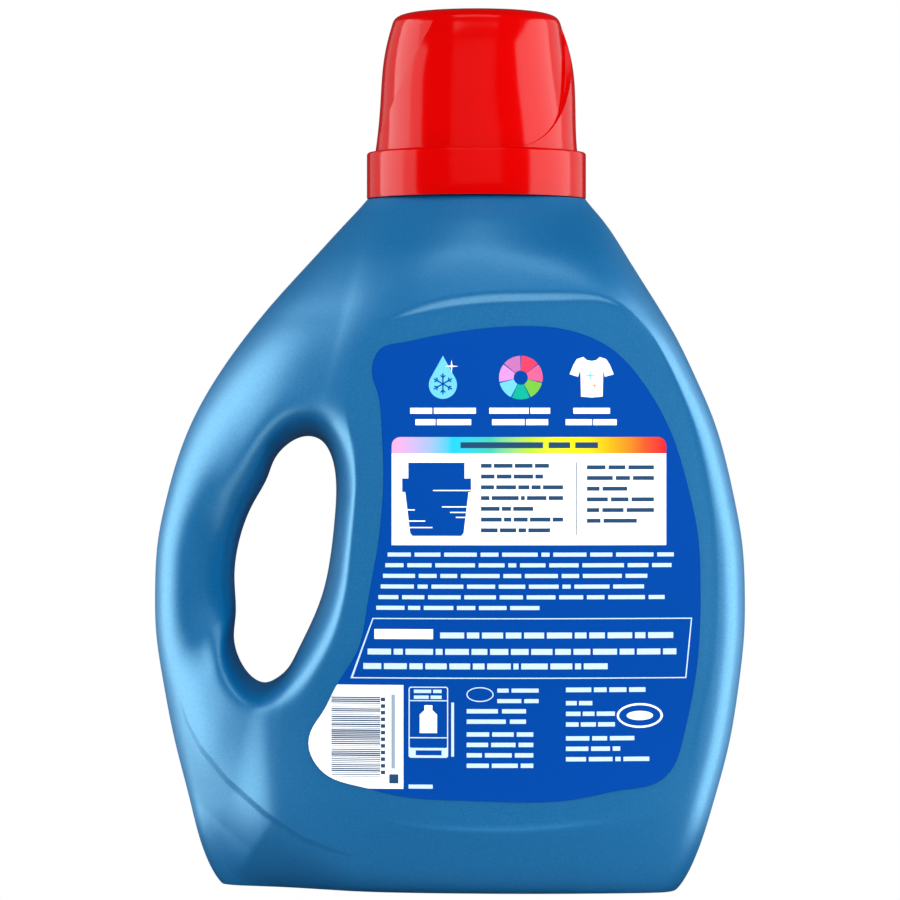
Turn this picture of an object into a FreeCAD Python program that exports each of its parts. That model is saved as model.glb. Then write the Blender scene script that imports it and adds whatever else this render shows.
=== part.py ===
import FreeCAD, Part
import Sketcher
import math
import os

# Laundry detergent bottle with a through handle, in millimetres.
# +Z is up, the base stands on z = 0, the label that the shopper reads last faces -Y and the
# handle is on the -X side. The neck stands off centre, away from the handle.

os.makedirs("parts", exist_ok=True)
doc = FreeCAD.newDocument("detergent_bottle")

# Driving dimensions
SIZES = {
    "body_width": 195.6,
    "shoulder_height": 227.5,
    "body_half_depth": 55.0,
    "neck_axis_x": 9.3,
    "shell_wall": 1.1,
    "base_rounding": 4.0,
    "base_arch_radius": 230.0,
    "base_arch_depth": 3.0,
    "front_crown_x": 20.0,
    "front_crown_radius": 200.0,
    "panel_sink": 3.0,
    "panel_crown_radius": 275.0,
    "panel_ledge_slope": 0.45,
    "handle_half_depth": 17.5,
    "grip_centre_x": -54.5,
    "grip_centre_z": 107.5,
    "grip_width": 34.4,
    "grip_height": 82.3,
    "neck_radius": 33.4,
    "neck_wall": 1.6,
    "neck_height": 12.0,
    "skirt_radius": 36.5,
    "skirt_wall": 1.9,
    "skirt_gap": 0.3,
    "skirt_height": 15.4,
    "skirt_edge_drop": 0.9,
    "skirt_edge_inset": 0.5,
    "skirt_ceiling": 1.8,
    "cup_base_radius": 33.7,
    "cup_top_radius": 28.3,
    "cup_height": 42.0,
    "cup_wall": 1.6,
    "cup_gap_drop": 11.0,
    "cup_gap_flare": 1.5,
    "cap_top_rise": 4.8,
    "swirl_bulge": 2.1,
    "swirl_turn": 76.0,
    "swirl_start": 13.5,
    "swirl_step": 1.0,
    "dose_mouth_drop": 16.7,
    "dose_outer_radius": 29.4,
    "dose_wall": 1.5,
    "dose_draft": 2.5,
    "dose_floor_wall": 2.2,
    "dose_floor_drop": 1.5,
    "collar_gap": 0.2,
    "collar_wall": 1.5,
    "collar_flange": 1.2,
    "collar_depth": 33.7,
    "spout_radius": 17.0,
    "spout_wall": 1.4,
    "spout_height": 47.0,
    "spout_lip_tilt": 14.0,
    "spout_slot_width": 9.0,
    "spout_slot_depth": 26.0,
    "drain_hole_radius": 2.5,
    "label_gap": 0.1,
    "label_film": 0.2,
    "join_margin": 1.0,
    "cut_margin": 2.0,
}

sheet = doc.addObject("Spreadsheet::Sheet", "Sizes")
for row, (alias, value) in enumerate(SIZES.items(), start=1):
    sheet.set(f"A{row}", alias)
    sheet.set(f"B{row}", str(value))
    sheet.setAlias(f"B{row}", alias)
doc.recompute()


def size(alias):
    """Value of one cell of the sheet."""
    return float(sheet.get(alias))


HALF_WIDTH = size("body_width") / 2.0
SHOULDER_Z = size("shoulder_height")
GRIP_CENTRE = (size("grip_centre_x"), size("grip_centre_z"))

# The side outline seen square on, as shares of the half width and of the shoulder height. It runs
# up the right side, closes in a dome above the shoulder and comes down over the handle.
OUTLINE_RIGHT = [
    (0.820, 0.033), (0.891, 0.121), (0.946, 0.209), (0.980, 0.297), (0.998, 0.370), (1.000, 0.429),
    (0.990, 0.502), (0.966, 0.560), (0.935, 0.619), (0.894, 0.678), (0.837, 0.736), (0.772, 0.795),
    (0.693, 0.854), (0.611, 0.912), (0.523, 0.971), (0.468, 1.000),
]
OUTLINE_LEFT = [
    (-0.278, 1.000), (-0.339, 0.971), (-0.465, 0.912), (-0.588, 0.854), (-0.700, 0.795),
    (-0.796, 0.736), (-0.871, 0.678), (-0.925, 0.619), (-0.963, 0.560), (-0.990, 0.502),
    (-1.000, 0.429), (-0.997, 0.370), (-0.973, 0.297), (-0.933, 0.209), (-0.881, 0.121),
    (-0.820, 0.033),
]
# The dome and the underside lie outside the finished bottle and are trimmed flat. The dome is in
# shares of the shoulder's flat top, across it from the handle side and above it. The underside is
# in shares of the half width and of the base rounding.
DOME = [(0.932, 0.103), (0.781, 0.260), (0.500, 0.356), (0.219, 0.260), (0.075, 0.103)]
UNDERSIDE = [(-0.745, 0.55), (-0.62, 1.0), (-0.25, 1.0), (0.25, 1.0), (0.62, 1.0), (0.745, 0.55)]

# The grip opening, as shares of its width and height about its centre, from the right side over
# the top, with the two shallow finger steps on the handle side.
GRIP_POINTS = [
    (0.500, 0.295), (0.488, 0.182), (0.445, 0.021), (0.369, -0.130), (0.256, -0.252), (0.125, -0.365),
    (0.020, -0.441), (-0.096, -0.482), (-0.203, -0.498), (-0.291, -0.486), (-0.387, -0.447),
    (-0.465, -0.385), (-0.500, -0.312), (-0.481, -0.222), (-0.491, -0.069), (-0.465, 0.040),
    (-0.407, 0.134), (-0.314, 0.227), (-0.172, 0.338), (-0.125, 0.392), (0.038, 0.474),
    (0.224, 0.502), (0.349, 0.486), (0.427, 0.446), (0.474, 0.392),
]

# Half depth of the body on its crown line at shares of the shoulder height, as a share of the
# greatest half depth. The entries past the shoulder shape the trimmed dome.
DEPTH_PROFILE = [
    (-0.030, 0.860), (0.050, 0.935), (0.170, 0.985), (0.430, 1.000), (0.700, 1.000), (0.840, 0.995),
    (0.905, 0.920), (0.958, 0.790), (1.000, 0.664), (1.060, 0.540), (1.150, 0.400),
]

# The sunk label panel, as shares of the half width and of the shoulder height.
PANEL_POINTS = [
    (-0.353, 0.795), (-0.230, 0.815), (-0.104, 0.828), (0.144, 0.843), (0.389, 0.846),
    (0.532, 0.843), (0.640, 0.815), (0.700, 0.775), (0.800, 0.676), (0.872, 0.534), (0.885, 0.420),
    (0.859, 0.306), (0.807, 0.193), (0.764, 0.130), (0.687, 0.116), (0.491, 0.106), (0.300, 0.099),
    (0.107, 0.097), (-0.150, 0.104), (-0.409, 0.131), (-0.593, 0.165), (-0.661, 0.205),
    (-0.557, 0.259), (-0.465, 0.309), (-0.368, 0.432), (-0.319, 0.596), (-0.329, 0.680),
    (-0.355, 0.745),
]

# The stuck label's outline, in the same shares.
LABEL_POINTS = [
    (-0.253, 0.740), (-0.246, 0.765), (-0.223, 0.779), (-0.167, 0.786), (-0.061, 0.795),
    (0.101, 0.806), (0.267, 0.810), (0.389, 0.805), (0.482, 0.792), (0.555, 0.773), (0.638, 0.734),
    (0.704, 0.690), (0.751, 0.645), (0.800, 0.573), (0.830, 0.508), (0.837, 0.442), (0.834, 0.369),
    (0.817, 0.301), (0.778, 0.221), (0.741, 0.179), (0.691, 0.160), (0.579, 0.150), (0.432, 0.138),
    (0.134, 0.134), (-0.011, 0.136), (-0.160, 0.141), (-0.293, 0.154), (-0.405, 0.170),
    (-0.448, 0.190), (-0.465, 0.211), (-0.458, 0.232), (-0.419, 0.259), (-0.372, 0.298),
    (-0.303, 0.347), (-0.270, 0.410), (-0.237, 0.491), (-0.223, 0.540), (-0.217, 0.581),
    (-0.217, 0.622), (-0.223, 0.674), (-0.237, 0.718),
]

# Rounding of the skin by direction from the grip centre, in degrees from +X over the top:
# rim width at the grip, rim width at the outline, fullness of the outline rim, share of handle.
SECTION_KEYS = [
    (-90.0, 13.0, 20.0, 3.0, 0.0),
    (-60.0, 12.0, 14.0, 3.6, 0.0),
    (-36.0, 9.0, 13.0, 4.6, 0.0),
    (-5.0, 7.0, 12.0, 5.0, 0.0),
    (20.0, 7.5, 12.0, 4.6, 0.0),
    (38.0, 10.0, 20.0, 3.0, 0.0),
    (52.0, 14.0, 34.0, 2.1, 0.0),
    (66.0, 17.0, 36.5, 2.0, 0.0),
    (90.0, 19.0, 36.0, 2.0, 0.0),
    (112.0, 17.0, 32.0, 2.0, 0.35),
    (135.0, 15.0, 22.0, 2.0, 0.9),
    (160.0, 14.0, 16.0, 2.1, 1.0),
    (200.0, 14.0, 16.0, 2.1, 1.0),
    (222.0, 14.0, 22.0, 2.0, 0.85),
    (245.0, 13.0, 32.0, 2.0, 0.25),
]

# The rounded edge of the cap's top: shares of its rise and millimetres in from the cup's top edge
CROWN_PROFILE = [(0.30, 0.45), (0.56, 1.25), (0.76, 2.8), (0.90, 5.4), (0.97, 9.0), (1.0, 13.0)]

# Height share from which the body's crown fades into the shoulder, and fullness of the grip's rim
CROWN_FADE = 0.84
GRIP_FULLNESS = 2.2
LEDGE_SOFTNESS = 1.2

# Numbers of sections, of points on half a section, of corners of the panel's polygon, and of the
# patches that the skin is split into
SECTIONS = 144
HALF_LOOP = 44
PANEL_CORNERS = 120
PATCHES_ALONG = 4
PATCHES_ROUND = 2

# The cap's swirl: number of creases, points across and up each flank, how late the taper and the
# swell set in, and the share of a flank over which it swells
SWIRLS = 3
SWIRL_COLUMNS = 19
SWIRL_ROWS = 16
SWIRL_CLIMB = 2.3
SWIRL_SWELL = 1.55
SWIRL_RAMP = 0.75


def closed_curve(points):
    """Smooth closed curve in the XZ plane through the given points."""
    curve = Part.BSplineCurve()
    curve.interpolate(Points=[FreeCAD.Vector(x, 0, z) for x, z in points], PeriodicFlag=True)
    return curve


def along(points, position):
    """Value at a position in a table of (position, value) pairs, on a smooth monotone curve."""
    if position <= points[0][0]:
        return points[0][1]
    for index in range(len(points) - 1):
        left, right = points[index], points[index + 1]
        if position <= right[0]:
            before = points[max(index - 1, 0)]
            after = points[min(index + 2, len(points) - 1)]
            span = right[0] - left[0]
            share = (position - left[0]) / span
            slope_left = (right[1] - before[1]) / (right[0] - before[0]) * span
            slope_right = (after[1] - left[1]) / (after[0] - left[0]) * span
            square, cube = share * share, share ** 3
            return ((2 * cube - 3 * square + 1) * left[1] + (cube - 2 * square + share) * slope_left
                    + (3 * square - 2 * cube) * right[1] + (cube - square) * slope_right)
    return points[-1][1]


def section_rule(angle, column):
    """One column of the section keys at an angle, smooth all the way round."""
    turn = angle % 360.0
    keys = [(key[0] % 360.0, key[column]) for key in SECTION_KEYS]
    keys.sort()
    wrapped = [(place - 360.0, value) for place, value in keys[-2:]]
    wrapped += keys + [(place + 360.0, value) for place, value in keys[:2]]
    return along(wrapped, turn)


def outline_points():
    """Points of the side outline, with the trimmed dome and underside."""
    flat_left = OUTLINE_LEFT[0][0] * HALF_WIDTH
    flat_width = OUTLINE_RIGHT[-1][0] * HALF_WIDTH - flat_left
    points = [(x * HALF_WIDTH, z * SHOULDER_Z) for x, z in OUTLINE_RIGHT]
    points += [(flat_left + x * flat_width, SHOULDER_Z + z * flat_width) for x, z in DOME]
    points += [(x * HALF_WIDTH, z * SHOULDER_Z) for x, z in OUTLINE_LEFT]
    points += [(x * HALF_WIDTH, -drop * size("base_rounding")) for x, drop in UNDERSIDE]
    return points


def grip_radius_table():
    """Distance of the grip's edge from the grip's centre, by angle in degrees."""
    width, height = size("grip_width"), size("grip_height")
    curve = closed_curve([(x * width, z * height) for x, z in GRIP_POINTS])
    first, last = curve.FirstParameter, curve.LastParameter
    samples = []
    for step in range(360):
        point = curve.value(first + (last - first) * step / 360.0)
        samples.append((math.degrees(math.atan2(point.z, point.x)) % 360.0, math.hypot(point.x, point.z)))
    samples.sort()
    return [(samples[-1][0] - 360.0, samples[-1][1])] + samples + [(samples[0][0] + 360.0, samples[0][1])]


def polygon_through(points, count):
    """A closed smooth curve through points in millimetres, as a polygon of evenly spaced points."""
    edge = closed_curve(points).toShape()
    return [(point.x, point.z) for point in edge.discretize(count + 1)[:-1]]


def distance_and_side(x, z, polygon):
    """Distance from a point to a polygon's edge, and whether the point is inside."""
    inside = False
    nearest = math.inf
    last_x, last_z = polygon[-1]
    for next_x, next_z in polygon:
        if (next_z > z) != (last_z > z):
            if x < (last_x - next_x) * (z - next_z) / (last_z - next_z) + next_x:
                inside = not inside
        run_x, run_z = next_x - last_x, next_z - last_z
        share = ((x - last_x) * run_x + (z - last_z) * run_z) / (run_x * run_x + run_z * run_z)
        share = max(0.0, min(1.0, share))
        nearest = min(nearest, math.hypot(x - last_x - share * run_x, z - last_z - share * run_z))
        last_x, last_z = next_x, next_z
    return nearest, inside


def smooth_min(first, second, softness):
    """The smaller of two values, rounded where they meet."""
    share = max(0.0, min(1.0, 0.5 + 0.5 * (second - first) / softness))
    return second + (first - second) * share - softness * share * (1.0 - share)


def rim(distance, width, fullness):
    """Rise of the skin from an edge: 0 at the edge and 1 from the rim's width on."""
    if distance >= width:
        return 1.0
    return (1.0 - (1.0 - distance / width) ** fullness) ** (1.0 / fullness)


def panel_half_depth(x):
    """Half depth of the label panel, an upright cylinder."""
    radius = size("panel_crown_radius")
    offset = x - size("front_crown_x")
    level = size("body_half_depth") - size("panel_sink")
    return level - radius + math.sqrt(radius * radius - offset * offset)


def skin_half_depth(x, z, angle, from_grip, from_outline, outline, panel):
    """Half depth of the bottle's outer skin at a point of the side view."""
    length = from_grip + from_outline
    handle_share = section_rule(angle, 4)
    square_on = distance_and_side(x, z, outline)[0]
    from_outline = square_on + (from_outline - square_on) * handle_share
    offset = x - size("front_crown_x")
    depth = size("body_half_depth") * along(DEPTH_PROFILE, z / SHOULDER_Z)
    above = max(0.0, (z / SHOULDER_Z - CROWN_FADE) / (1.0 - CROWN_FADE))
    body = depth - offset * offset / (2.0 * size("front_crown_radius")) * max(0.0, 1.0 - above)
    body = body * (1.0 - handle_share) + size("handle_half_depth") * handle_share
    body *= rim(from_grip, min(section_rule(angle, 1), length / 2.0), GRIP_FULLNESS)
    body *= rim(from_outline, min(section_rule(angle, 2), length / 2.0), section_rule(angle, 3))
    panel_level = panel_half_depth(x)
    if body > panel_level - 2.0 * LEDGE_SOFTNESS:
        distance, inside = distance_and_side(x, z, panel)
        ledge = panel_level if inside else panel_level + size("panel_ledge_slope") * distance
        body = smooth_min(body, ledge, LEDGE_SOFTNESS)
    return body


def skin_grid():
    """Points of the closed outer skin: one loop of points for each section through the wall."""
    outer = polygon_through(outline_points(), SECTIONS)
    grip = grip_radius_table()
    panel = polygon_through([(x * HALF_WIDTH, z * SHOULDER_Z) for x, z in PANEL_POINTS],
                            PANEL_CORNERS)
    centre_x, centre_z = GRIP_CENTRE
    grid = []
    for outer_x, outer_z in outer:
        reach = math.hypot(outer_x - centre_x, outer_z - centre_z)
        cosine, sine = (outer_x - centre_x) / reach, (outer_z - centre_z) / reach
        angle = math.degrees(math.atan2(sine, cosine))
        start = along(grip, angle % 360.0)
        front = []
        for step in range(HALF_LOOP + 1):
            share = (1.0 - math.cos(math.pi * step / HALF_LOOP)) / 2.0
            place = start + (reach - start) * share
            x, z = centre_x + cosine * place, centre_z + sine * place
            half = 0.0
            if 0 < step < HALF_LOOP:
                half = skin_half_depth(x, z, angle, place - start, reach - place, outer, panel)
            front.append(FreeCAD.Vector(x, -half, z))
        back = [FreeCAD.Vector(spot.x, -spot.y, spot.z) for spot in front[-2:0:-1]]
        grid.append(front + back)
    return grid


def inset_grid(grid, inset):
    """The same loops of points, moved inwards by the wall along the skin's normal."""
    rows, columns = len(grid), len(grid[0])
    result = []
    for row in range(rows):
        line = []
        for column in range(columns):
            along_rows = grid[(row + 1) % rows][column] - grid[row - 1][column]
            along_loop = grid[row][(column + 1) % columns] - grid[row][column - 1]
            normal = along_rows.cross(along_loop)
            normal.normalize()
            line.append(grid[row][column] + normal * inset)
        result.append(line)
    return result


def spline_poles(values):
    """Control points of the closed uniform cubic spline through the given points."""
    root = math.sqrt(3.0) - 2.0
    count = len(values)
    reach = 14
    weights = [math.sqrt(3.0) * root ** abs(step) for step in range(-reach, reach + 1)]
    poles = []
    for index in range(count):
        pole = FreeCAD.Vector(0, 0, 0)
        for step, weight in zip(range(-reach, reach + 1), weights):
            pole += values[(index + step) % count] * weight
        poles.append(pole)
    return poles


def closed_skin(grid):
    """Solid inside the smooth ring-shaped skin through a grid of points."""
    rows = [spline_poles(line) for line in grid]
    columns = [spline_poles([line[index] for line in rows]) for index in range(len(rows[0]))]
    poles = [[column[index] for column in columns] for index in range(len(rows))]
    count_u, count_v = len(poles), len(poles[0])
    knots_u = [float(index) for index in range(count_u + 1)]
    knots_v = [float(index) for index in range(count_v + 1)]
    skin = Part.BSplineSurface()
    skin.buildFromPolesMultsKnots(poles, [1] * (count_u + 1), [1] * (count_v + 1),
                                  knots_u, knots_v, True, True, 3, 3)
    faces = []
    step_u, step_v = count_u / PATCHES_ALONG, count_v / PATCHES_ROUND
    for part_u in range(PATCHES_ALONG):
        for part_v in range(PATCHES_ROUND):
            patch = skin.copy()
            patch.segment(step_u * part_u, step_u * (part_u + 1), step_v * part_v, step_v * (part_v + 1))
            faces.append(patch.toShape())
    shell = Part.makeShell(faces)
    shell.sewShape()
    solid = Part.makeSolid(Part.Shell(shell.Faces))
    if solid.Volume < 0:
        solid.reverse()
    return solid


def feature(label, shape):
    """A document object that holds a shape made by the functions above."""
    item = doc.addObject("Part::Feature", label)
    item.Label = label
    item.Shape = shape
    return item


def primitive(kind, label, **bindings):
    """A primitive whose properties are bound to expressions of the sheet."""
    item = doc.addObject("Part::" + kind, label)
    item.Label = label
    for name, expression in bindings.items():
        item.setExpression(name.replace("__", "."), expression)
    return item


def combine(kind, label, base, tool):
    """A boolean of two document objects."""
    item = doc.addObject("Part::" + kind, label)
    item.Label = label
    item.Base = base
    item.Tool = tool
    return item


def turned_body(label, profile, axis_x="Sizes.neck_axis_x"):
    """A body turned about an upright axis from a closed profile of (radius, height) expressions."""
    body = doc.addObject("PartDesign::Body", label)
    body.Label = label
    body.setExpression("Placement.Base.x", axis_x)
    sketch = body.newObject("Sketcher::SketchObject", label + "_profile")
    plane = [item for item in body.Origin.OriginFeatures if item.Role == "XZ_Plane"][0]
    sketch.AttachmentSupport = [(plane, "")]
    sketch.MapMode = "FlatFace"
    values = [(value_of(radius), value_of(height)) for radius, height in profile]
    count = len(values)
    for index in range(count):
        start, end = values[index], values[(index + 1) % count]
        sketch.addGeometry(Part.LineSegment(FreeCAD.Vector(start[0], start[1], 0),
                                            FreeCAD.Vector(end[0], end[1], 0)), False)
    for index in range(count):
        sketch.addConstraint(Sketcher.Constraint("Coincident", index, 2, (index + 1) % count, 1))
    for index, (radius, height) in enumerate(profile):
        for kind, expression, value in (("DistanceX", radius, values[index][0]),
                                        ("DistanceY", height, values[index][1])):
            number = sketch.addConstraint(Sketcher.Constraint(kind, -1, 1, index, 1, value))
            sketch.setExpression(f"Constraints[{number}]", expression)
    turn = body.newObject("PartDesign::Revolution", label + "_turn")
    turn.Profile = sketch
    turn.ReferenceAxis = (sketch, ["V_Axis"])
    turn.Angle = 360.0
    body.Tip = turn
    return body


def value_of(expression):
    """Number that an expression of the sheet gives."""
    return float(sheet.evalExpression(expression.replace("Sizes.", "")))


def swirl_cup():
    """The cap's tapered wall with three swirling steps, as one solid."""
    base_z = value_of(SKIRT_TOP) - 0.5 * size("skirt_wall")
    top_z = value_of(CUP_TOP_Z)
    base_radius = size("cup_base_radius")
    top_radius = size("cup_top_radius")
    sector_turn = 360.0 / SWIRLS
    flank_turn = sector_turn - size("swirl_step")
    rings = []
    for row in range(SWIRL_ROWS + 1):
        share = row / SWIRL_ROWS
        rise = share ** SWIRL_CLIMB
        bulge = size("swirl_bulge") * math.sin(math.pi * rise ** SWIRL_SWELL)
        rings.append((base_z + (top_z - base_z) * rise, base_radius + (top_radius - base_radius) * rise,
                      bulge, size("swirl_turn") * share))
    for rise, inset in CROWN_PROFILE:
        rings.append((top_z + size("cap_top_rise") * rise, top_radius - inset, 0.0, size("swirl_turn")))
    faces, lower, upper, flanks = [], [], [], []
    for sector in range(SWIRLS):
        grid = []
        for height, cone, bulge, turned in rings:
            crease = size("swirl_start") + turned + sector_turn * sector
            line = []
            for column in range(SWIRL_COLUMNS):
                part = column / (SWIRL_COLUMNS - 1.0)
                turn = math.radians(crease - size("swirl_step") - flank_turn * part)
                lift = min(1.0, part / SWIRL_RAMP)
                radius = cone + bulge * lift * lift * (3.0 - 2.0 * lift)
                line.append(FreeCAD.Vector(radius * math.sin(turn), -radius * math.cos(turn), height))
            grid.append(line)
        patch = Part.BSplineSurface()
        patch.interpolate(grid)
        first_u, last_u, first_v, last_v = patch.bounds()
        faces.append(patch.toShape())
        lower.append(patch.uIso(first_u).toShape())
        upper.append(patch.uIso(last_u).toShape())
        flanks.append((patch.vIso(first_v).toShape(), patch.vIso(last_v).toShape()))
    for sector in range(SWIRLS):
        low_side = flanks[sector][0]
        high_side = flanks[(sector + 1) % SWIRLS][1]
        faces.append(Part.makeRuledSurface(low_side, high_side))
        for ring, position in ((lower, 0), (upper, -1)):
            ring.append(Part.makeLine(low_side.Vertexes[position].Point, high_side.Vertexes[position].Point))
    for ring in (lower, upper):
        faces.append(Part.Face(Part.Wire(Part.__sortEdges__(ring))))
    shell = Part.makeShell(faces)
    shell.sewShape()
    solid = Part.makeSolid(Part.Shell(shell.Faces))
    if solid.Volume < 0:
        solid.reverse()
    return solid


def outline_face(points, depth):
    """Flat face inside a smooth outline of the side view, in the plane y = depth."""
    curve = closed_curve([(x * HALF_WIDTH, z * SHOULDER_Z) for x, z in points])
    face = Part.Face(Part.Wire(curve.toShape()))
    face.translate(FreeCAD.Vector(0, depth, 0))
    return face


# Heights and radii worked out from the driving dimensions, as expressions of the sheet
NECK_TOP = "Sizes.shoulder_height + Sizes.neck_height"
NECK_BORE = "Sizes.neck_radius - Sizes.neck_wall"
SKIRT_BOTTOM = "Sizes.shoulder_height + Sizes.skirt_gap"
SKIRT_TOP = SKIRT_BOTTOM + " + Sizes.skirt_height"
CUP_TOP_Z = SKIRT_TOP + " + Sizes.cup_height"
CAP_TOP_Z = CUP_TOP_Z + " + Sizes.cap_top_rise"
DOSE_MOUTH = SKIRT_BOTTOM + " - Sizes.dose_mouth_drop"
DOSE_BORE = "Sizes.dose_outer_radius - Sizes.dose_wall"
FLANGE_TOP = NECK_TOP + " + Sizes.collar_flange"
COLLAR_RADIUS = NECK_BORE + " - Sizes.collar_gap"
COLLAR_BORE = COLLAR_RADIUS + " - Sizes.collar_wall"
GUTTER_Z = FLANGE_TOP + " - Sizes.collar_depth"
SPOUT_TOP = GUTTER_Z + " + Sizes.spout_height"
SPOUT_BORE = "Sizes.spout_radius - Sizes.spout_wall"


def bottle():
    """The blow-moulded bottle: a hollow skin with a tubular handle, a flat base and a neck."""
    grid = skin_grid()
    outer = feature("outer_skin", closed_skin(grid))
    inner = feature("inner_skin", closed_skin(inset_grid(grid, size("shell_wall"))))
    outer_block = primitive("Box", "outer_block", Length="2 * Sizes.body_width",
                            Width="4 * Sizes.body_half_depth", Height="Sizes.shoulder_height",
                            Placement__Base__x="-Sizes.body_width",
                            Placement__Base__y="-2 * Sizes.body_half_depth")
    inner_block = primitive("Box", "inner_block", Length="2 * Sizes.body_width",
                            Width="4 * Sizes.body_half_depth",
                            Height="Sizes.shoulder_height - 2 * Sizes.shell_wall",
                            Placement__Base__x="-Sizes.body_width",
                            Placement__Base__y="-2 * Sizes.body_half_depth",
                            Placement__Base__z="Sizes.shell_wall")
    neck = primitive("Cylinder", "neck_wall", Radius="Sizes.neck_radius",
                     Height="Sizes.neck_height + Sizes.shell_wall",
                     Placement__Base__x="Sizes.neck_axis_x",
                     Placement__Base__z="Sizes.shoulder_height - Sizes.shell_wall")
    bore = primitive("Cylinder", "neck_bore", Radius=NECK_BORE,
                     Height="Sizes.neck_height + 4 * Sizes.shell_wall",
                     Placement__Base__x="Sizes.neck_axis_x",
                     Placement__Base__z="Sizes.shoulder_height - 3 * Sizes.shell_wall")
    arch = primitive("Sphere", "base_arch", Radius="Sizes.base_arch_radius",
                     Placement__Base__z="Sizes.base_arch_depth - Sizes.base_arch_radius")
    arch_skin = primitive("Sphere", "base_arch_skin", Radius="Sizes.base_arch_radius + Sizes.shell_wall",
                          Placement__Base__z="Sizes.base_arch_depth - Sizes.base_arch_radius")
    trimmed = combine("Common", "trimmed_skin", outer, outer_block)
    footed = combine("Cut", "footed_skin", trimmed, arch)
    necked = combine("Fuse", "necked_skin", footed, neck)
    hollow = combine("Common", "trimmed_hollow", inner, inner_block)
    hollow_foot = combine("Cut", "footed_hollow", hollow, arch_skin)
    hollow_all = combine("Fuse", "whole_hollow", hollow_foot, bore)
    return combine("Cut", "bottle", necked, hollow_all)


def pour_spout():
    """The drip-free fitment in the neck: a collar, a gutter with a drain and a slotted spout."""
    gutter_top = GUTTER_Z + " + Sizes.spout_wall"
    turned = turned_body("spout_turned", [
        (COLLAR_BORE, FLANGE_TOP), (COLLAR_BORE, gutter_top), ("Sizes.spout_radius", gutter_top),
        ("Sizes.spout_radius", SPOUT_TOP), (SPOUT_BORE, SPOUT_TOP), (SPOUT_BORE, GUTTER_Z),
        (COLLAR_RADIUS, GUTTER_Z), (COLLAR_RADIUS, NECK_TOP), ("Sizes.neck_radius", NECK_TOP),
        ("Sizes.neck_radius", FLANGE_TOP)])
    slot = primitive("Box", "spout_slot", Length="Sizes.spout_radius", Width="Sizes.spout_slot_width",
                     Height="2 * Sizes.spout_slot_depth",
                     Placement__Base__x="Sizes.neck_axis_x - 1.2 * Sizes.spout_radius",
                     Placement__Base__y="-0.5 * Sizes.spout_slot_width",
                     Placement__Base__z=SPOUT_TOP + " - Sizes.spout_slot_depth")
    lip = primitive("Box", "lip_trim", Length="4 * Sizes.spout_radius", Width="4 * Sizes.spout_radius",
                    Height="2 * Sizes.spout_radius",
                    Placement__Rotation__Axis__y="-1", Placement__Rotation__Axis__z="0",
                    Placement__Rotation__Angle="Sizes.spout_lip_tilt",
                    Placement__Base__x="Sizes.neck_axis_x + Sizes.spout_radius"
                                       " - 4 * Sizes.spout_radius * cos(Sizes.spout_lip_tilt * 1 deg)",
                    Placement__Base__y="-2 * Sizes.spout_radius",
                    Placement__Base__z=SPOUT_TOP + " - 4 * Sizes.spout_radius"
                                                   " * sin(Sizes.spout_lip_tilt * 1 deg)")
    drain = primitive("Cylinder", "drain_hole", Radius="Sizes.drain_hole_radius",
                      Height="4 * Sizes.spout_wall",
                      Placement__Base__x="Sizes.neck_axis_x - 0.5 * (Sizes.spout_radius + "
                                         + COLLAR_BORE + ")",
                      Placement__Base__z=GUTTER_Z + " - Sizes.spout_wall")
    slotted = combine("Cut", "slotted_spout", turned, slot)
    lipped = combine("Cut", "lipped_spout", slotted, lip)
    return combine("Cut", "pour_spout", lipped, drain)


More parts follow.
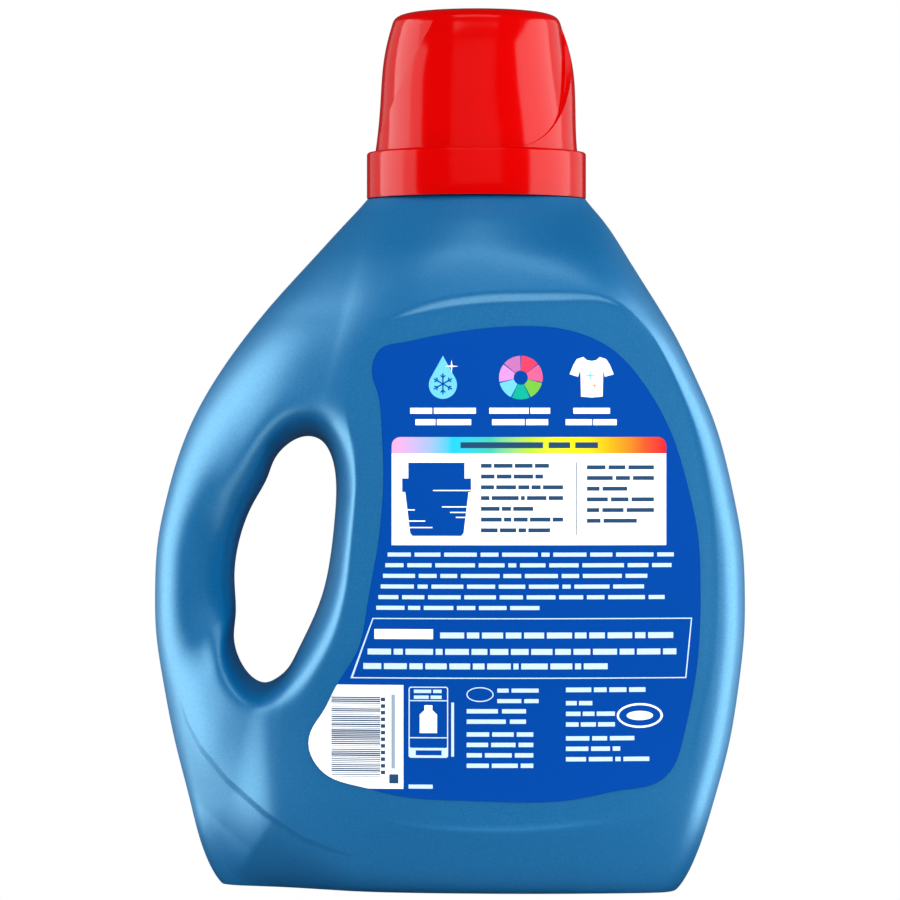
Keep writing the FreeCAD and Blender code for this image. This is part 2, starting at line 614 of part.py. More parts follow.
def cap():
    """The cap moulded in one with its dosing cup: a skirt, a swirled wall and an inner cup."""
    gap_top = CUP_TOP_Z + " - Sizes.cup_gap_drop"
    mouth_to_top = "(" + CUP_TOP_Z + " - (" + DOSE_MOUTH + "))"
    gap_share = "((" + gap_top + " - (" + DOSE_MOUTH + ")) / " + mouth_to_top + ")"
    skirt_share = "((" + SKIRT_BOTTOM + " - (" + DOSE_MOUTH + ")) / " + mouth_to_top + ")"
    gap_inner = "Sizes.dose_outer_radius - Sizes.dose_draft * " + gap_share
    gap_outer = ("Sizes.cup_base_radius - Sizes.cup_wall - (Sizes.cup_base_radius - "
                 "Sizes.cup_top_radius) * (" + gap_top + " - (" + SKIRT_TOP + ")) / Sizes.cup_height")
    skirt_inner = "Sizes.skirt_radius - Sizes.skirt_wall"
    ceiling = SKIRT_TOP + " - Sizes.skirt_ceiling"
    below = SKIRT_BOTTOM + " - Sizes.cut_margin"
    joint = SKIRT_BOTTOM + " + Sizes.join_margin"
    outer_at_skirt = "Sizes.dose_outer_radius - Sizes.dose_draft * " + skirt_share
    skirt = turned_body("cap_skirt", [
        ("0", SKIRT_BOTTOM), ("Sizes.skirt_radius", SKIRT_BOTTOM),
        ("Sizes.skirt_radius", SKIRT_TOP + " - Sizes.skirt_edge_drop"),
        ("Sizes.skirt_radius - Sizes.skirt_edge_inset", SKIRT_TOP), ("0", SKIRT_TOP)])
    cup = feature("cap_swirl", swirl_cup())
    cup.setExpression("Placement.Base.x", "Sizes.neck_axis_x")
    gap = turned_body("cap_gap", [
        (outer_at_skirt, below), (skirt_inner, below), (skirt_inner, ceiling),
        ("Sizes.cup_base_radius - Sizes.cup_wall", ceiling + " + Sizes.cup_gap_flare"),
        (gap_outer, gap_top),
        (gap_inner, gap_top)])
    tube = turned_body("dose_tube", [
        (DOSE_BORE, DOSE_MOUTH), ("Sizes.dose_outer_radius", DOSE_MOUTH),
        (outer_at_skirt, joint), (DOSE_BORE + " - Sizes.join_margin", joint)])
    hollow = turned_body("dose_hollow", [
        ("0", DOSE_MOUTH + " - Sizes.cut_margin"), (DOSE_BORE, DOSE_MOUTH + " - Sizes.cut_margin"),
        (DOSE_BORE, DOSE_MOUTH),
        (DOSE_BORE + " - Sizes.dose_draft", CUP_TOP_Z + " - Sizes.dose_floor_drop"),
        ("0", CAP_TOP_Z + " - Sizes.dose_floor_wall")])
    closed = combine("Fuse", "cap_closed", skirt, cup)
    double = combine("Cut", "cap_double_wall", closed, gap)
    long_cup = combine("Fuse", "cap_long_cup", double, tube)
    return combine("Cut", "cap", long_cup, hollow)


def back_label():
    """The printed film on the side with the directions, curved with the sunk panel."""
    rule = {"Height": "2 * Sizes.shoulder_height", "Placement__Base__x": "Sizes.front_crown_x",
            "Placement__Base__y": "Sizes.panel_crown_radius - Sizes.body_half_depth + Sizes.panel_sink",
            "Placement__Base__z": "-0.5 * Sizes.shoulder_height"}
    outside = primitive("Cylinder", "label_outside",
                        Radius="Sizes.panel_crown_radius + Sizes.label_gap + Sizes.label_film", **rule)
    inside = primitive("Cylinder", "label_inside",
                       Radius="Sizes.panel_crown_radius + Sizes.label_gap", **rule)
    sheet_wall = combine("Cut", "label_sheet", outside, inside)
    outline = feature("label_outline", outline_face(LABEL_POINTS, -2.0 * size("body_half_depth")))
    prism = doc.addObject("Part::Extrusion", "label_prism")
    prism.Base = outline
    prism.Dir = FreeCAD.Vector(0, 1, 0)
    prism.DirMode = "Custom"
    prism.setExpression("LengthFwd", "2 * Sizes.body_half_depth")
    prism.Solid = True
    return combine("Common", "back_label", sheet_wall, prism)


def front_label(source):
    """The film on the far side, the mirror image of the near one."""
    mirrored = doc.addObject("Part::Mirroring", "front_label")
    mirrored.Label = "front_label"
    mirrored.Source = source
    mirrored.Normal = FreeCAD.Vector(0, 1, 0)
    return mirrored


near_label = back_label()
PIECES = [bottle(), pour_spout(), cap(), near_label, front_label(near_label)]
doc.recompute()

for item in doc.Objects:
    if "Invalid" in item.State or "Error" in item.State:
        raise RuntimeError(f"{item.Label} failed to build: {item.State}")
for piece in PIECES:
    shape = piece.Shape
    if shape.isNull() or not shape.isValid() or len(shape.Solids) != 1:
        raise RuntimeError(f"{piece.Label} is not one valid solid")
    shape.exportStep(f"parts/{piece.Label}.step")
    box = shape.BoundBox
    print(f"{piece.Label}: {shape.Volume / 1000.0:.1f} ml, x {box.XMin:.1f} {box.XMax:.1f},"
          f" y {box.YMin:.1f} {box.YMax:.1f}, z {box.ZMin:.1f} {box.ZMax:.1f}")
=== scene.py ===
"""Looks of the laundry detergent bottle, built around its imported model.

Shapes are worked out in millimetres in the part's own frame and turned to metres when a mesh is
made. The face with the directions label looks towards -Y and the handle is on the -X side.
"""

import logging
import math
from contextlib import contextmanager
from dataclasses import dataclass, field
from enum import Enum
from functools import partial
from typing import Iterator, Optional, Sequence

import bmesh
import bpy
import numpy as np
from bmesh.types import BMesh, BMVert
from bpy.types import Material, Mesh, Node, NodeSocket, NodeTree, Object
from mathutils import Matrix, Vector
from mathutils.geometry import tessellate_polygon

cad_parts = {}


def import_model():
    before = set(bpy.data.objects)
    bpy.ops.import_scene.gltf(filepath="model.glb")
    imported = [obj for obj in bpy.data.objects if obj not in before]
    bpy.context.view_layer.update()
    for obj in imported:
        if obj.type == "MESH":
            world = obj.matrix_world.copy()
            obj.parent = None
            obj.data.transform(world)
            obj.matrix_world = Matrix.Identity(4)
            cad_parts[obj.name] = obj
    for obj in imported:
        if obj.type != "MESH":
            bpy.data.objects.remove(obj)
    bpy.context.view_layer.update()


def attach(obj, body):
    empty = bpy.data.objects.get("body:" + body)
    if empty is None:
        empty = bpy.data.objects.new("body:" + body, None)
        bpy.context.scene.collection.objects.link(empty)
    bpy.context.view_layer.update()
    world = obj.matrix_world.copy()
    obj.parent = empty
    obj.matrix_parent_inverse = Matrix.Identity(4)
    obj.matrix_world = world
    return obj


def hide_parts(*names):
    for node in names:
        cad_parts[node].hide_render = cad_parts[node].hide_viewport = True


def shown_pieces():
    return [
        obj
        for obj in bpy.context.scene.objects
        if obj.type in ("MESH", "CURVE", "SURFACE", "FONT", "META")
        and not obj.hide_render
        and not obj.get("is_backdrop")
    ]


LOG = logging.getLogger("detergent_bottle")
MM = 0.001
# Sizes that several pieces share, in millimetres.
SHOULDER_Z = 227.5
PANEL_CROWN_X = 20.0
PANEL_RADIUS = 275.0
PANEL_HALF_DEPTH = 52.0
NECK_X = 9.3
THREAD_TURNS = 1.6
THREAD_RISE_MM = 7.0
SPLINE_STEPS = 40
# How unevenly the rows of bars are cut, and what keeps their random draws apart.
WORD_WANDER = 0.75
WORD_SHARE_KEPT = 0.35
TINY = 1e-6
LINE_STRIDE = 64.0
WANDER_SEED = 11.0
THICKNESS_SEED = 23.0

Loop = Sequence[tuple[float, float]]
Points = list[tuple[float, float]]
Shapes = list[tuple["Ink", list[Loop]]]


class Side(Enum):
    """The two broad faces of the bottle, with the sign of Y that each looks along."""

    DIRECTIONS = -1.0
    SHOP = 1.0


def linear(colour: str, alpha: float = 1.0) -> tuple[float, float, float, float]:
    """Turn an sRGB hex colour into linear components.

    Args:
        colour: Six hex digits with a leading hash.
        alpha: Opacity to append.

    Returns:
        Linear red, green and blue with the alpha.
    """
    parts = [int(colour[place:place + 2], 16) / 255.0 for place in (1, 3, 5)]
    values = [part / 12.92 if part <= 0.04045 else ((part + 0.055) / 1.055) ** 2.4 for part in parts]
    return (values[0], values[1], values[2], alpha)


def add_node(tree: NodeTree, kind: str, settings: Optional[dict] = None,
             **links: object) -> Node:
    """Add a node with its settings, socket values and links.

    Args:
        tree: Tree that gets the node.
        kind: Blender's name for the node type.
        settings: Attributes to set on the node.
        **links: Socket names, with underscores for spaces, or in0, in1 by place. A value is a
            socket to link from or a number, colour or vector to set.

    Returns:
        The new node.
    """
    node = tree.nodes.new(kind)
    for name, value in (settings or {}).items():
        setattr(node, name, value)
    for name, value in links.items():
        if name.startswith("in") and name[2:].isdigit():
            socket = node.inputs[int(name[2:])]
        else:
            socket = node.inputs[name.replace("_", " ")]
        if isinstance(value, NodeSocket):
            tree.links.new(value, socket)
        else:
            socket.default_value = value
    return node


class Finish:
    """A procedural material that is built from its fields."""

    def surface(self, tree: NodeTree, place: NodeSocket) -> Node:
        """Add the shading nodes.

        Args:
            tree: The material's tree.
            place: Object coordinates, in metres.

        Returns:
            The shader that the material shows.
        """
        raise NotImplementedError

    def build(self) -> Material:
        """Make the material."""
        material = bpy.data.materials.new(self.name)
        material.use_nodes = True
        tree = material.node_tree
        tree.nodes.clear()
        shader = self.surface(tree, add_node(tree, "ShaderNodeTexCoord").outputs["Object"])
        add_node(tree, "ShaderNodeOutputMaterial", Surface=shader.outputs[0])
        return material


@dataclass(frozen=True)
class PearlPolyethylene(Finish):
    """Blow-moulded polyethylene with mica: deep blue face on, with a pale broad sheen at the rims."""

    name: str = "pearlescent_blow_moulded_polyethylene"
    deep: str = "#005A92"
    pale: str = "#006098"
    sheen: str = "#C8FFFF"
    glint: str = "#5CB4F0"
    sheen_share: float = 0.25
    sheen_roughness: float = 0.40
    roughness: float = 0.42
    specular: float = 0.05
    flake_mm: float = 0.45
    flake_tone: float = 0.55
    drift_scale: float = 22.0
    grain_bump_mm: float = 0.012

    def surface(self, tree: NodeTree, place: NodeSocket) -> Node:
        """Lay mica flakes over pigmented plastic."""
        flakes = add_node(tree, "ShaderNodeTexNoise", Vector=place, Scale=1.0 / (self.flake_mm * MM),
                          Detail=2.0, Roughness=0.6).outputs["Fac"]
        drift = add_node(tree, "ShaderNodeTexNoise", Vector=place, Scale=self.drift_scale,
                         Detail=3.0, Roughness=0.5)
        blend = add_node(tree, "ShaderNodeMath", {"operation": "MULTIPLY_ADD"}, in0=flakes,
                         in1=self.flake_tone, in2=drift.outputs["Fac"])
        tone = add_node(tree, "ShaderNodeMapRange", Value=blend.outputs[0], From_Min=0.45,
                        From_Max=1.1)
        colour = add_node(tree, "ShaderNodeMix", {"data_type": "RGBA"}, in0=tone.outputs[0],
                          in6=linear(self.deep), in7=linear(self.pale))
        bump = add_node(tree, "ShaderNodeBump", Height=flakes, Strength=0.35,
                        Distance=self.grain_bump_mm * MM)
        plastic = add_node(tree, "ShaderNodeBsdfPrincipled", Base_Color=colour.outputs[2],
                           Roughness=self.roughness, IOR=1.5, Specular_IOR_Level=self.specular,
                           Normal=bump.outputs["Normal"])
        sparkle = add_node(tree, "ShaderNodeMix", {"data_type": "RGBA"}, in0=flakes,
                           in6=linear(self.glint), in7=linear(self.sheen))
        mica = add_node(tree, "ShaderNodeBsdfPrincipled", Base_Color=sparkle.outputs[2], Metallic=1.0,
                        Roughness=self.sheen_roughness, Normal=bump.outputs["Normal"])
        return add_node(tree, "ShaderNodeMixShader", in0=self.sheen_share, in1=plastic.outputs[0],
                        in2=mica.outputs[0])


@dataclass(frozen=True)
class MouldedPlastic(Finish):
    """Injection-moulded plastic: one strong colour with clear highlights, wavering with the flow."""

    name: str
    colour: str
    shade: str
    roughness: float
    specular: float = 0.25
    flow_scale: float = 35.0
    grain_mm: float = 0.6
    grain_bump_mm: float = 0.004

    def surface(self, tree: NodeTree, place: NodeSocket) -> Node:
        """Vary colour with the flow, and gloss and bump with the grain."""
        flow = add_node(tree, "ShaderNodeTexNoise", Vector=place, Scale=self.flow_scale,
                        Detail=3.0, Roughness=0.55)
        grain = add_node(tree, "ShaderNodeTexNoise", Vector=place, Scale=1.0 / (self.grain_mm * MM),
                         Detail=2.0, Roughness=0.5).outputs["Fac"]
        colour = add_node(tree, "ShaderNodeMix", {"data_type": "RGBA"}, in0=flow.outputs["Fac"],
                          in6=linear(self.shade), in7=linear(self.colour))
        spread = add_node(tree, "ShaderNodeMapRange", Value=grain, To_Min=self.roughness * 0.9,
                          To_Max=self.roughness * 1.1)
        bump = add_node(tree, "ShaderNodeBump", Height=grain, Strength=0.3,
                        Distance=self.grain_bump_mm * MM)
        return add_node(tree, "ShaderNodeBsdfPrincipled", Base_Color=colour.outputs[2],
                        Roughness=spread.outputs[0], IOR=1.49, Specular_IOR_Level=self.specular,
                        Normal=bump.outputs["Normal"])


@dataclass(frozen=True)
class PrintedFilm(Finish):
    """Ink on satin label film: flat even colour, with the fine tooth and soft gloss of a print."""

    name: str
    ink: str
    shade: str
    dot_mm: float = 0.35

    def surface(self, tree: NodeTree, place: NodeSocket) -> Node:
        """Vary the ink's colour and height from dot to dot."""
        dots = add_node(tree, "ShaderNodeTexNoise", Vector=place, Scale=1.0 / (self.dot_mm * MM),
                        Detail=1.0, Roughness=0.5).outputs["Fac"]
        colour = add_node(tree, "ShaderNodeMix", {"data_type": "RGBA"}, in0=dots,
                          in6=linear(self.shade), in7=linear(self.ink))
        bump = add_node(tree, "ShaderNodeBump", Height=dots, Strength=0.15, Distance=0.003 * MM)
        return add_node(tree, "ShaderNodeBsdfPrincipled", Base_Color=colour.outputs[2],
                        Roughness=0.42, IOR=1.48, Specular_IOR_Level=0.1,
                        Normal=bump.outputs["Normal"])


@dataclass(frozen=True)
class RainbowInk(Finish):
    """Ink that runs through the spectrum across the label."""

    name: str
    start_mm: float
    end_mm: float
    stops: tuple[tuple[float, str], ...]

    def surface(self, tree: NodeTree, place: NodeSocket) -> Node:
        """Read the colour off a ramp along X."""
        across = add_node(tree, "ShaderNodeSeparateXYZ", Vector=place).outputs["X"]
        share = add_node(tree, "ShaderNodeMapRange", Value=across, From_Min=self.start_mm * MM,
                         From_Max=self.end_mm * MM)
        ramp = add_node(tree, "ShaderNodeValToRGB", Fac=share.outputs[0])
        stops = ramp.color_ramp.elements
        while len(stops) < len(self.stops):
            stops.new(0.5)
        for stop, (position, colour) in zip(stops, self.stops):
            stop.position = position
            stop.color = linear(colour)
        return add_node(tree, "ShaderNodeBsdfPrincipled", Base_Color=ramp.outputs[0],
                        Roughness=0.42, IOR=1.48, Specular_IOR_Level=0.1)


@dataclass(frozen=True)
class SeamlessPaper(Finish):
    """Paper that the camera sees as pure white and that glossy surfaces do not mirror."""

    name: str = "white_seamless_paper"
    colour: str = "#F4F4F4"

    def surface(self, tree: NodeTree, place: NodeSocket) -> Node:
        """Choose by the kind of ray that meets the paper."""
        path = add_node(tree, "ShaderNodeLightPath").outputs
        paper = add_node(tree, "ShaderNodeBsdfPrincipled", Base_Color=linear(self.colour),
                         Roughness=0.6)
        glow = add_node(tree, "ShaderNodeEmission", Color=(1, 1, 1, 1), Strength=1.0)
        dark = add_node(tree, "ShaderNodeEmission", Color=(0, 0, 0, 1), Strength=0.0)
        unseen = add_node(tree, "ShaderNodeMixShader", in0=path["Is Glossy Ray"],
                          in1=paper.outputs[0], in2=dark.outputs[0])
        return add_node(tree, "ShaderNodeMixShader", in0=path["Is Camera Ray"],
                        in1=unseen.outputs[0], in2=glow.outputs[0])


def spline_points(points: Loop, count: int) -> np.ndarray:
    """Evenly spaced points on the closed smooth curve through some points.

    Args:
        points: Points that the curve passes through, in order.
        count: Number of points wanted.

    Returns:
        Array of count rows of two numbers.
    """
    knots = np.array(points, float)
    number = len(knots)
    following = np.roll(knots, -1, axis=0)
    chord = np.linalg.norm(following - knots, axis=1)
    matrix = np.zeros((number, number))
    right = np.zeros((number, 2))
    for index in range(number):
        before, after = chord[index - 1], chord[index]
        matrix[index, index - 1] += before
        matrix[index, index] += 2.0 * (before + after)
        matrix[index, (index + 1) % number] += after
        right[index] = 6.0 * ((following[index] - knots[index]) / after
                              - (knots[index] - knots[index - 1]) / before)
    bend = np.linalg.solve(matrix, right)
    bend_after = np.roll(bend, -1, axis=0)
    pieces = []
    for index in range(number):
        length = chord[index]
        run = np.linspace(0.0, length, SPLINE_STEPS, endpoint=False)[:, None]
        pieces.append(bend[index] * (length - run) ** 3 / (6 * length)
                      + bend_after[index] * run ** 3 / (6 * length)
                      + (knots[index] / length - bend[index] * length / 6) * (length - run)
                      + (following[index] / length - bend_after[index] * length / 6) * run)
    dense = np.vstack(pieces + [knots[:1]])
    travel = np.concatenate([[0.0], np.cumsum(np.linalg.norm(np.diff(dense, axis=0), axis=1))])
    wanted = np.linspace(0.0, travel[-1], count, endpoint=False)
    return np.column_stack([np.interp(wanted, travel, dense[:, axis]) for axis in (0, 1)])


def along(table: Loop, positions: np.ndarray) -> np.ndarray:
    """Values at positions in a table, on a smooth curve through its entries.

    Args:
        table: (position, value) pairs in rising order.
        positions: Positions to read.

    Returns:
        The values, held constant past the table's ends.
    """
    places, values = np.array(table, float).T
    order = np.arange(len(places))
    low, high = np.maximum(order - 1, 0), np.minimum(order + 1, len(places) - 1)
    slopes = (values[high] - values[low]) / (places[high] - places[low])
    at = np.clip(positions, places[0], places[-1])
    index = np.clip(np.searchsorted(places, at, side="right") - 1, 0, len(places) - 2)
    span = places[index + 1] - places[index]
    share = (at - places[index]) / span
    square, cube = share ** 2, share ** 3
    return ((2 * cube - 3 * square + 1) * values[index]
            + (cube - 2 * square + share) * slopes[index] * span
            + (3 * square - 2 * cube) * values[index + 1]
            + (cube - square) * slopes[index + 1] * span)


def distance_and_side(points: np.ndarray, polygon: np.ndarray) -> tuple[np.ndarray, np.ndarray]:
    """Distances from points to a polygon's edge, and which points are inside.

    Args:
        points: Rows of two numbers.
        polygon: The polygon's corners in order.

    Returns:
        Distances and a mask of the points inside.
    """
    start, end = polygon, np.roll(polygon, -1, axis=0)
    run = end - start
    offset = points[:, None, :] - start[None, :, :]
    share = np.clip((offset * run).sum(-1) / (run * run).sum(-1), 0.0, 1.0)
    nearest = np.sqrt(((offset - share[..., None] * run) ** 2).sum(-1)).min(axis=1)
    above_start = start[None, :, 1] > points[:, None, 1]
    above_end = end[None, :, 1] > points[:, None, 1]
    rise = np.where(np.abs(run[:, 1]) < 1e-12, 1e-12, run[:, 1])
    crossing = start[None, :, 0] + run[None, :, 0] * (points[:, None, 1] - start[None, :, 1]) / rise
    hits = (above_start != above_end) & (points[:, None, 0] < crossing)
    return nearest, hits.sum(axis=1) % 2 == 1


def smooth_step(value: np.ndarray) -> np.ndarray:
    """Rise smoothly from 0 at 0 to 1 at 1."""
    share = np.clip(value, 0.0, 1.0)
    return share * share * (3.0 - 2.0 * share)


def smooth_min(first: np.ndarray, second: np.ndarray, softness: float) -> np.ndarray:
    """The smaller of two values, rounded where they meet."""
    mix = np.clip(0.5 + 0.5 * (second - first) / softness, 0.0, 1.0)
    return second + (first - second) * mix - softness * mix * (1.0 - mix)


def place_object(name: str, mesh: Mesh,
                 materials: Sequence[Material]) -> Object:
    """Put a mesh in the scene at the origin, with its finishes."""
    for material in materials:
        mesh.materials.append(material)
    item = bpy.data.objects.new(name, mesh)
    bpy.context.scene.collection.objects.link(item)
    return item


def mesh_object(name: str, vertices: np.ndarray, faces: list,
                material: Material) -> Object:
    """Make a smooth-shaded object from points in millimetres and its faces.

    Args:
        name: The piece's name.
        vertices: Rows of three numbers in millimetres.
        faces: Lists of point numbers.
        material: Finish of the whole piece.

    Returns:
        The new object at the origin.
    """
    mesh = bpy.data.meshes.new(name)
    mesh.from_pydata((np.asarray(vertices) * MM).tolist(), [], faces)
    mesh.polygons.foreach_set("use_smooth", [True] * len(mesh.polygons))
    mesh.validate()
    mesh.update()
    return place_object(name, mesh, [material])


def work_object(name: str, work: BMesh,
                materials: Sequence[Material]) -> Object:
    """Turn a working mesh into an object with its finishes, and free it."""
    mesh = bpy.data.meshes.new(name)
    work.to_mesh(mesh)
    work.free()
    return place_object(name, mesh, materials)


def ring_faces(rows: int, columns: int, closed: bool) -> list[tuple[int, ...]]:
    """Quads between neighbouring rings of points that are numbered ring by ring.

    Args:
        rows: Number of rings.
        columns: Points in each ring.
        closed: Whether the last ring joins the first.

    Returns:
        The point numbers of each quad.
    """
    faces = []
    for row in range(rows if closed else rows - 1):
        low, high = row * columns, (row + 1) % rows * columns
        for column in range(columns):
            other = (column + 1) % columns
            faces.append((low + column, low + other, high + other, high + column))
    return faces


def bridge(work: BMesh, last: list, ring: list) -> list:
    """Join two rings of corners with quads, and hand back the second."""
    for index in range(len(last)):
        other = (index + 1) % len(last)
        work.faces.new((last[index], last[other], ring[other], ring[index]))
    return ring


@contextmanager
def editing(item: Object) -> Iterator[BMesh]:
    """Open an object's mesh for changes and write them back."""
    work = bmesh.new()
    work.from_mesh(item.data)
    yield work
    work.to_mesh(item.data)
    work.free()
    item.data.update()


def face_outwards(item: Object) -> None:
    """Turn the faces of a closed mesh outwards."""
    with editing(item) as work:
        bmesh.ops.remove_doubles(work, verts=work.verts, dist=1e-7)
        bmesh.ops.recalc_face_normals(work, faces=work.faces)
        if work.calc_volume(signed=True) < 0:
            bmesh.ops.reverse_faces(work, faces=work.faces)


def sharpen(item: Object, degrees: float) -> None:
    """Split the shading where faces meet at more than an angle.

    Args:
        item: Object to mark.
        degrees: The angle past which an edge shows as sharp.
    """
    limit = math.radians(degrees)
    with editing(item) as work:
        for edge in work.edges:
            edge.smooth = len(edge.link_faces) != 2 or edge.calc_face_angle(0.0) < limit


@dataclass
class BottleShell:
    """The blow-moulded bottle: its skin, sunk label panels, through grip and neck."""

    width: float = 195.55
    shoulder_z: float = SHOULDER_Z
    half_depth: float = 54.7
    crown_x: float = PANEL_CROWN_X
    crown_radius: float = 200.0
    panel_half_depth: float = PANEL_HALF_DEPTH
    panel_radius: float = PANEL_RADIUS
    ledge_slope: float = 0.55
    ledge_softness: float = 0.8
    crown_fade: float = 0.82
    rim_softness: float = 10.0
    rim_easing: float = 0.2
    notch_reach: float = 9.0
    notch_blur: float = 9.0
    grip_fullness: float = 2.6
    handle_half_depth: float = 17.5
    grip_centre: tuple[float, float] = (-54.5, 107.5)
    grip_width: float = 34.4
    grip_height: float = 82.3
    base_drop: float = 4.0
    base_arch: float = 3.0
    neck_x: float = NECK_X
    neck_radius: float = 33.4
    neck_wall: float = 1.6
    neck_height: float = 12.0
    neck_floor: float = 24.0
    neck_fillet: float = 0.6
    lip_round: float = 0.4
    sharp_degrees: float = 38.0
    sections: int = 520
    half_loop: int = 130
    samples: int = 420
    bend_weight: float = 7.0
    panel_points: int = 300
    grip_points: int = 720
    right_side: tuple = (
        (0.82, 0.033), (0.891, 0.121), (0.946, 0.209), (0.98, 0.297), (0.998, 0.37),
        (1.0, 0.429), (0.99, 0.502), (0.966, 0.56), (0.935, 0.619), (0.894, 0.678),
        (0.837, 0.736), (0.772, 0.795), (0.693, 0.854), (0.611, 0.912), (0.523, 0.971),
        (0.468, 1.000))
    left_side: tuple = (
        (-0.278, 1.0), (-0.339, 0.971), (-0.465, 0.912), (-0.588, 0.854), (-0.7, 0.795),
        (-0.796, 0.736), (-0.871, 0.678), (-0.925, 0.619), (-0.963, 0.56), (-0.99, 0.502),
        (-1.0, 0.429), (-0.997, 0.37), (-0.973, 0.297), (-0.933, 0.209), (-0.881, 0.121),
        (-0.820, 0.033))
    dome: tuple = ((31.5, 7.5), (20.5, 19.0), (0.0, 26.0), (-20.5, 19.0), (-31.0, 7.5))
    underside: tuple = ((-0.745, 0.55), (-0.62, 1.0), (-0.25, 1.0), (0.25, 1.0), (0.62, 1.0),
                        (0.745, 0.55))
    grip: tuple = (
        (0.5, 0.295), (0.488, 0.182), (0.445, 0.021), (0.369, -0.13), (0.256, -0.252),
        (0.125, -0.365), (0.02, -0.441), (-0.096, -0.482), (-0.203, -0.498), (-0.291, -0.486),
        (-0.387, -0.447), (-0.465, -0.385), (-0.5, -0.312), (-0.481, -0.222), (-0.491, -0.069),
        (-0.465, 0.04), (-0.407, 0.134), (-0.314, 0.227), (-0.172, 0.338), (-0.125, 0.392),
        (0.038, 0.474), (0.224, 0.502), (0.349, 0.486), (0.427, 0.446), (0.474, 0.392))
    depth_profile: tuple = (
        (-0.03, 0.86), (0.05, 0.935), (0.17, 0.985), (0.43, 1.0), (0.7, 1.0),
        (0.84, 0.995), (0.905, 0.92), (0.958, 0.79), (1.0, 0.664), (1.06, 0.54),
        (1.150, 0.400))
    panel: tuple = (
        (-0.353, 0.795), (-0.23, 0.815), (-0.104, 0.828), (0.144, 0.843), (0.389, 0.846),
        (0.532, 0.843), (0.64, 0.815), (0.7, 0.775), (0.8, 0.676), (0.872, 0.534),
        (0.885, 0.42), (0.859, 0.306), (0.807, 0.193), (0.764, 0.13), (0.687, 0.116),
        (0.491, 0.106), (0.3, 0.099), (0.107, 0.097), (-0.15, 0.104), (-0.409, 0.131),
        (-0.593, 0.165), (-0.661, 0.205), (-0.557, 0.259), (-0.465, 0.309), (-0.368, 0.432),
        (-0.319, 0.596), (-0.329, 0.68), (-0.355, 0.745))
    section_keys: tuple = (
        (-90.0, 14.0, 28.0, 2.2, 0.0), (-75.0, 14.5, 16.0, 3.2, 0.0), (-60.0, 14.0, 14.0, 3.6, 0.0),
        (-36.0, 11.5, 13.0, 4.4, 0.0), (-5.0, 10.0, 12.5, 4.4, 0.0), (20.0, 10.5, 13.0, 4.2, 0.0),
        (38.0, 12.5, 20.0, 3.0, 0.0), (52.0, 15.5, 34.0, 2.1, 0.0), (66.0, 18.0, 36.5, 2.0, 0.03),
        (90.0, 19.0, 36.0, 2.0, 0.14), (112.0, 19.0, 30.0, 2.0, 0.42),
        (135.0, 20.0, 24.0, 2.0, 0.74), (160.0, 22.0, 23.0, 2.05, 0.95),
        (200.0, 22.0, 24.0, 2.05, 1.0), (222.0, 15.0, 28.0, 2.0, 0.85),
        (240.0, 13.0, 42.0, 2.0, 0.3), (256.0, 13.0, 44.0, 2.0, 0.05))
    crease: tuple = (
        (-88.6, 61.6), (-85.6, 54.2), (-81.1, 46.7), (-72.0, 36.4), (-58.9, 25.8), (-46.9, 18.2),
        (-35.3, 13.8), (-29.3, 12.1))
    crease_drop: float = 1.1
    side_slope: float = 0.14
    side_reach: float = 12.0
    crease_taper: float = 7.0
    crease_width: float = 2.0
    base_rings: tuple = ((0.94, 0.0), (0.90, 0.25), (0.84, 0.75), (0.7, 0.9), (0.45, 0.97),
                         (0.2, 1.0))
    def outline(self) -> Points:
        """Points of the side outline, with the dome and underside that are trimmed away."""
        half, height = self.width / 2.0, self.shoulder_z
        points = [(x * half, z * height) for x, z in self.right_side]
        points += [(self.neck_x + x, height + z) for x, z in self.dome]
        points += [(x * half, z * height) for x, z in self.left_side]
        return points + [(x * half, -drop * self.base_drop) for x, drop in self.underside]

    def rule(self, angle: float, column: int) -> float:
        """One column of the section keys at an angle in degrees, smooth all the way round."""
        keys = sorted((key[0] % 360.0, key[column]) for key in self.section_keys)
        wrapped = [(place - 360.0, value) for place, value in keys[-2:]] + keys
        wrapped += [(place + 360.0, value) for place, value in keys[:2]]
        return float(along(wrapped, np.array([angle % 360.0]))[0])

    def panel_depth(self, x: np.ndarray) -> np.ndarray:
        """Half depth of the upright cylinder that the label panel follows."""
        reach = self.panel_radius
        return self.panel_half_depth - reach + np.sqrt(reach ** 2 - (x - self.crown_x) ** 2)

    def crease_relief(self, points: np.ndarray) -> np.ndarray:
        """How far the skin drops below the soft crease that sweeps round the lower left."""
        line = np.array(self.crease)
        start, run = line[:-1], np.diff(line, axis=0)
        offset = points[:, None, :] - start[None, :, :]
        raw = (offset * run).sum(-1) / (run * run).sum(-1)
        share = np.clip(raw, 0.0, 1.0)
        gap = offset - share[..., None] * run
        distance = np.sqrt((gap ** 2).sum(-1))
        nearest = distance.argmin(axis=1)
        rows = np.arange(len(points))
        side = run[nearest, 0] * gap[rows, nearest, 1] - run[nearest, 1] * gap[rows, nearest, 0]
        place = (nearest + share[rows, nearest]) / len(run)
        swell = np.sin(np.pi * np.clip(place, 0.0, 1.0)) ** 0.8
        below = distance[rows, nearest]
        step = self.crease_width * np.maximum(swell, 0.2)
        drop = self.crease_drop * np.clip(below / step, 0.0, 1.0)
        drop += self.side_slope * np.minimum(np.maximum(below - step, 0.0), self.side_reach)
        return np.where(side < 0, swell * drop, 0.0)

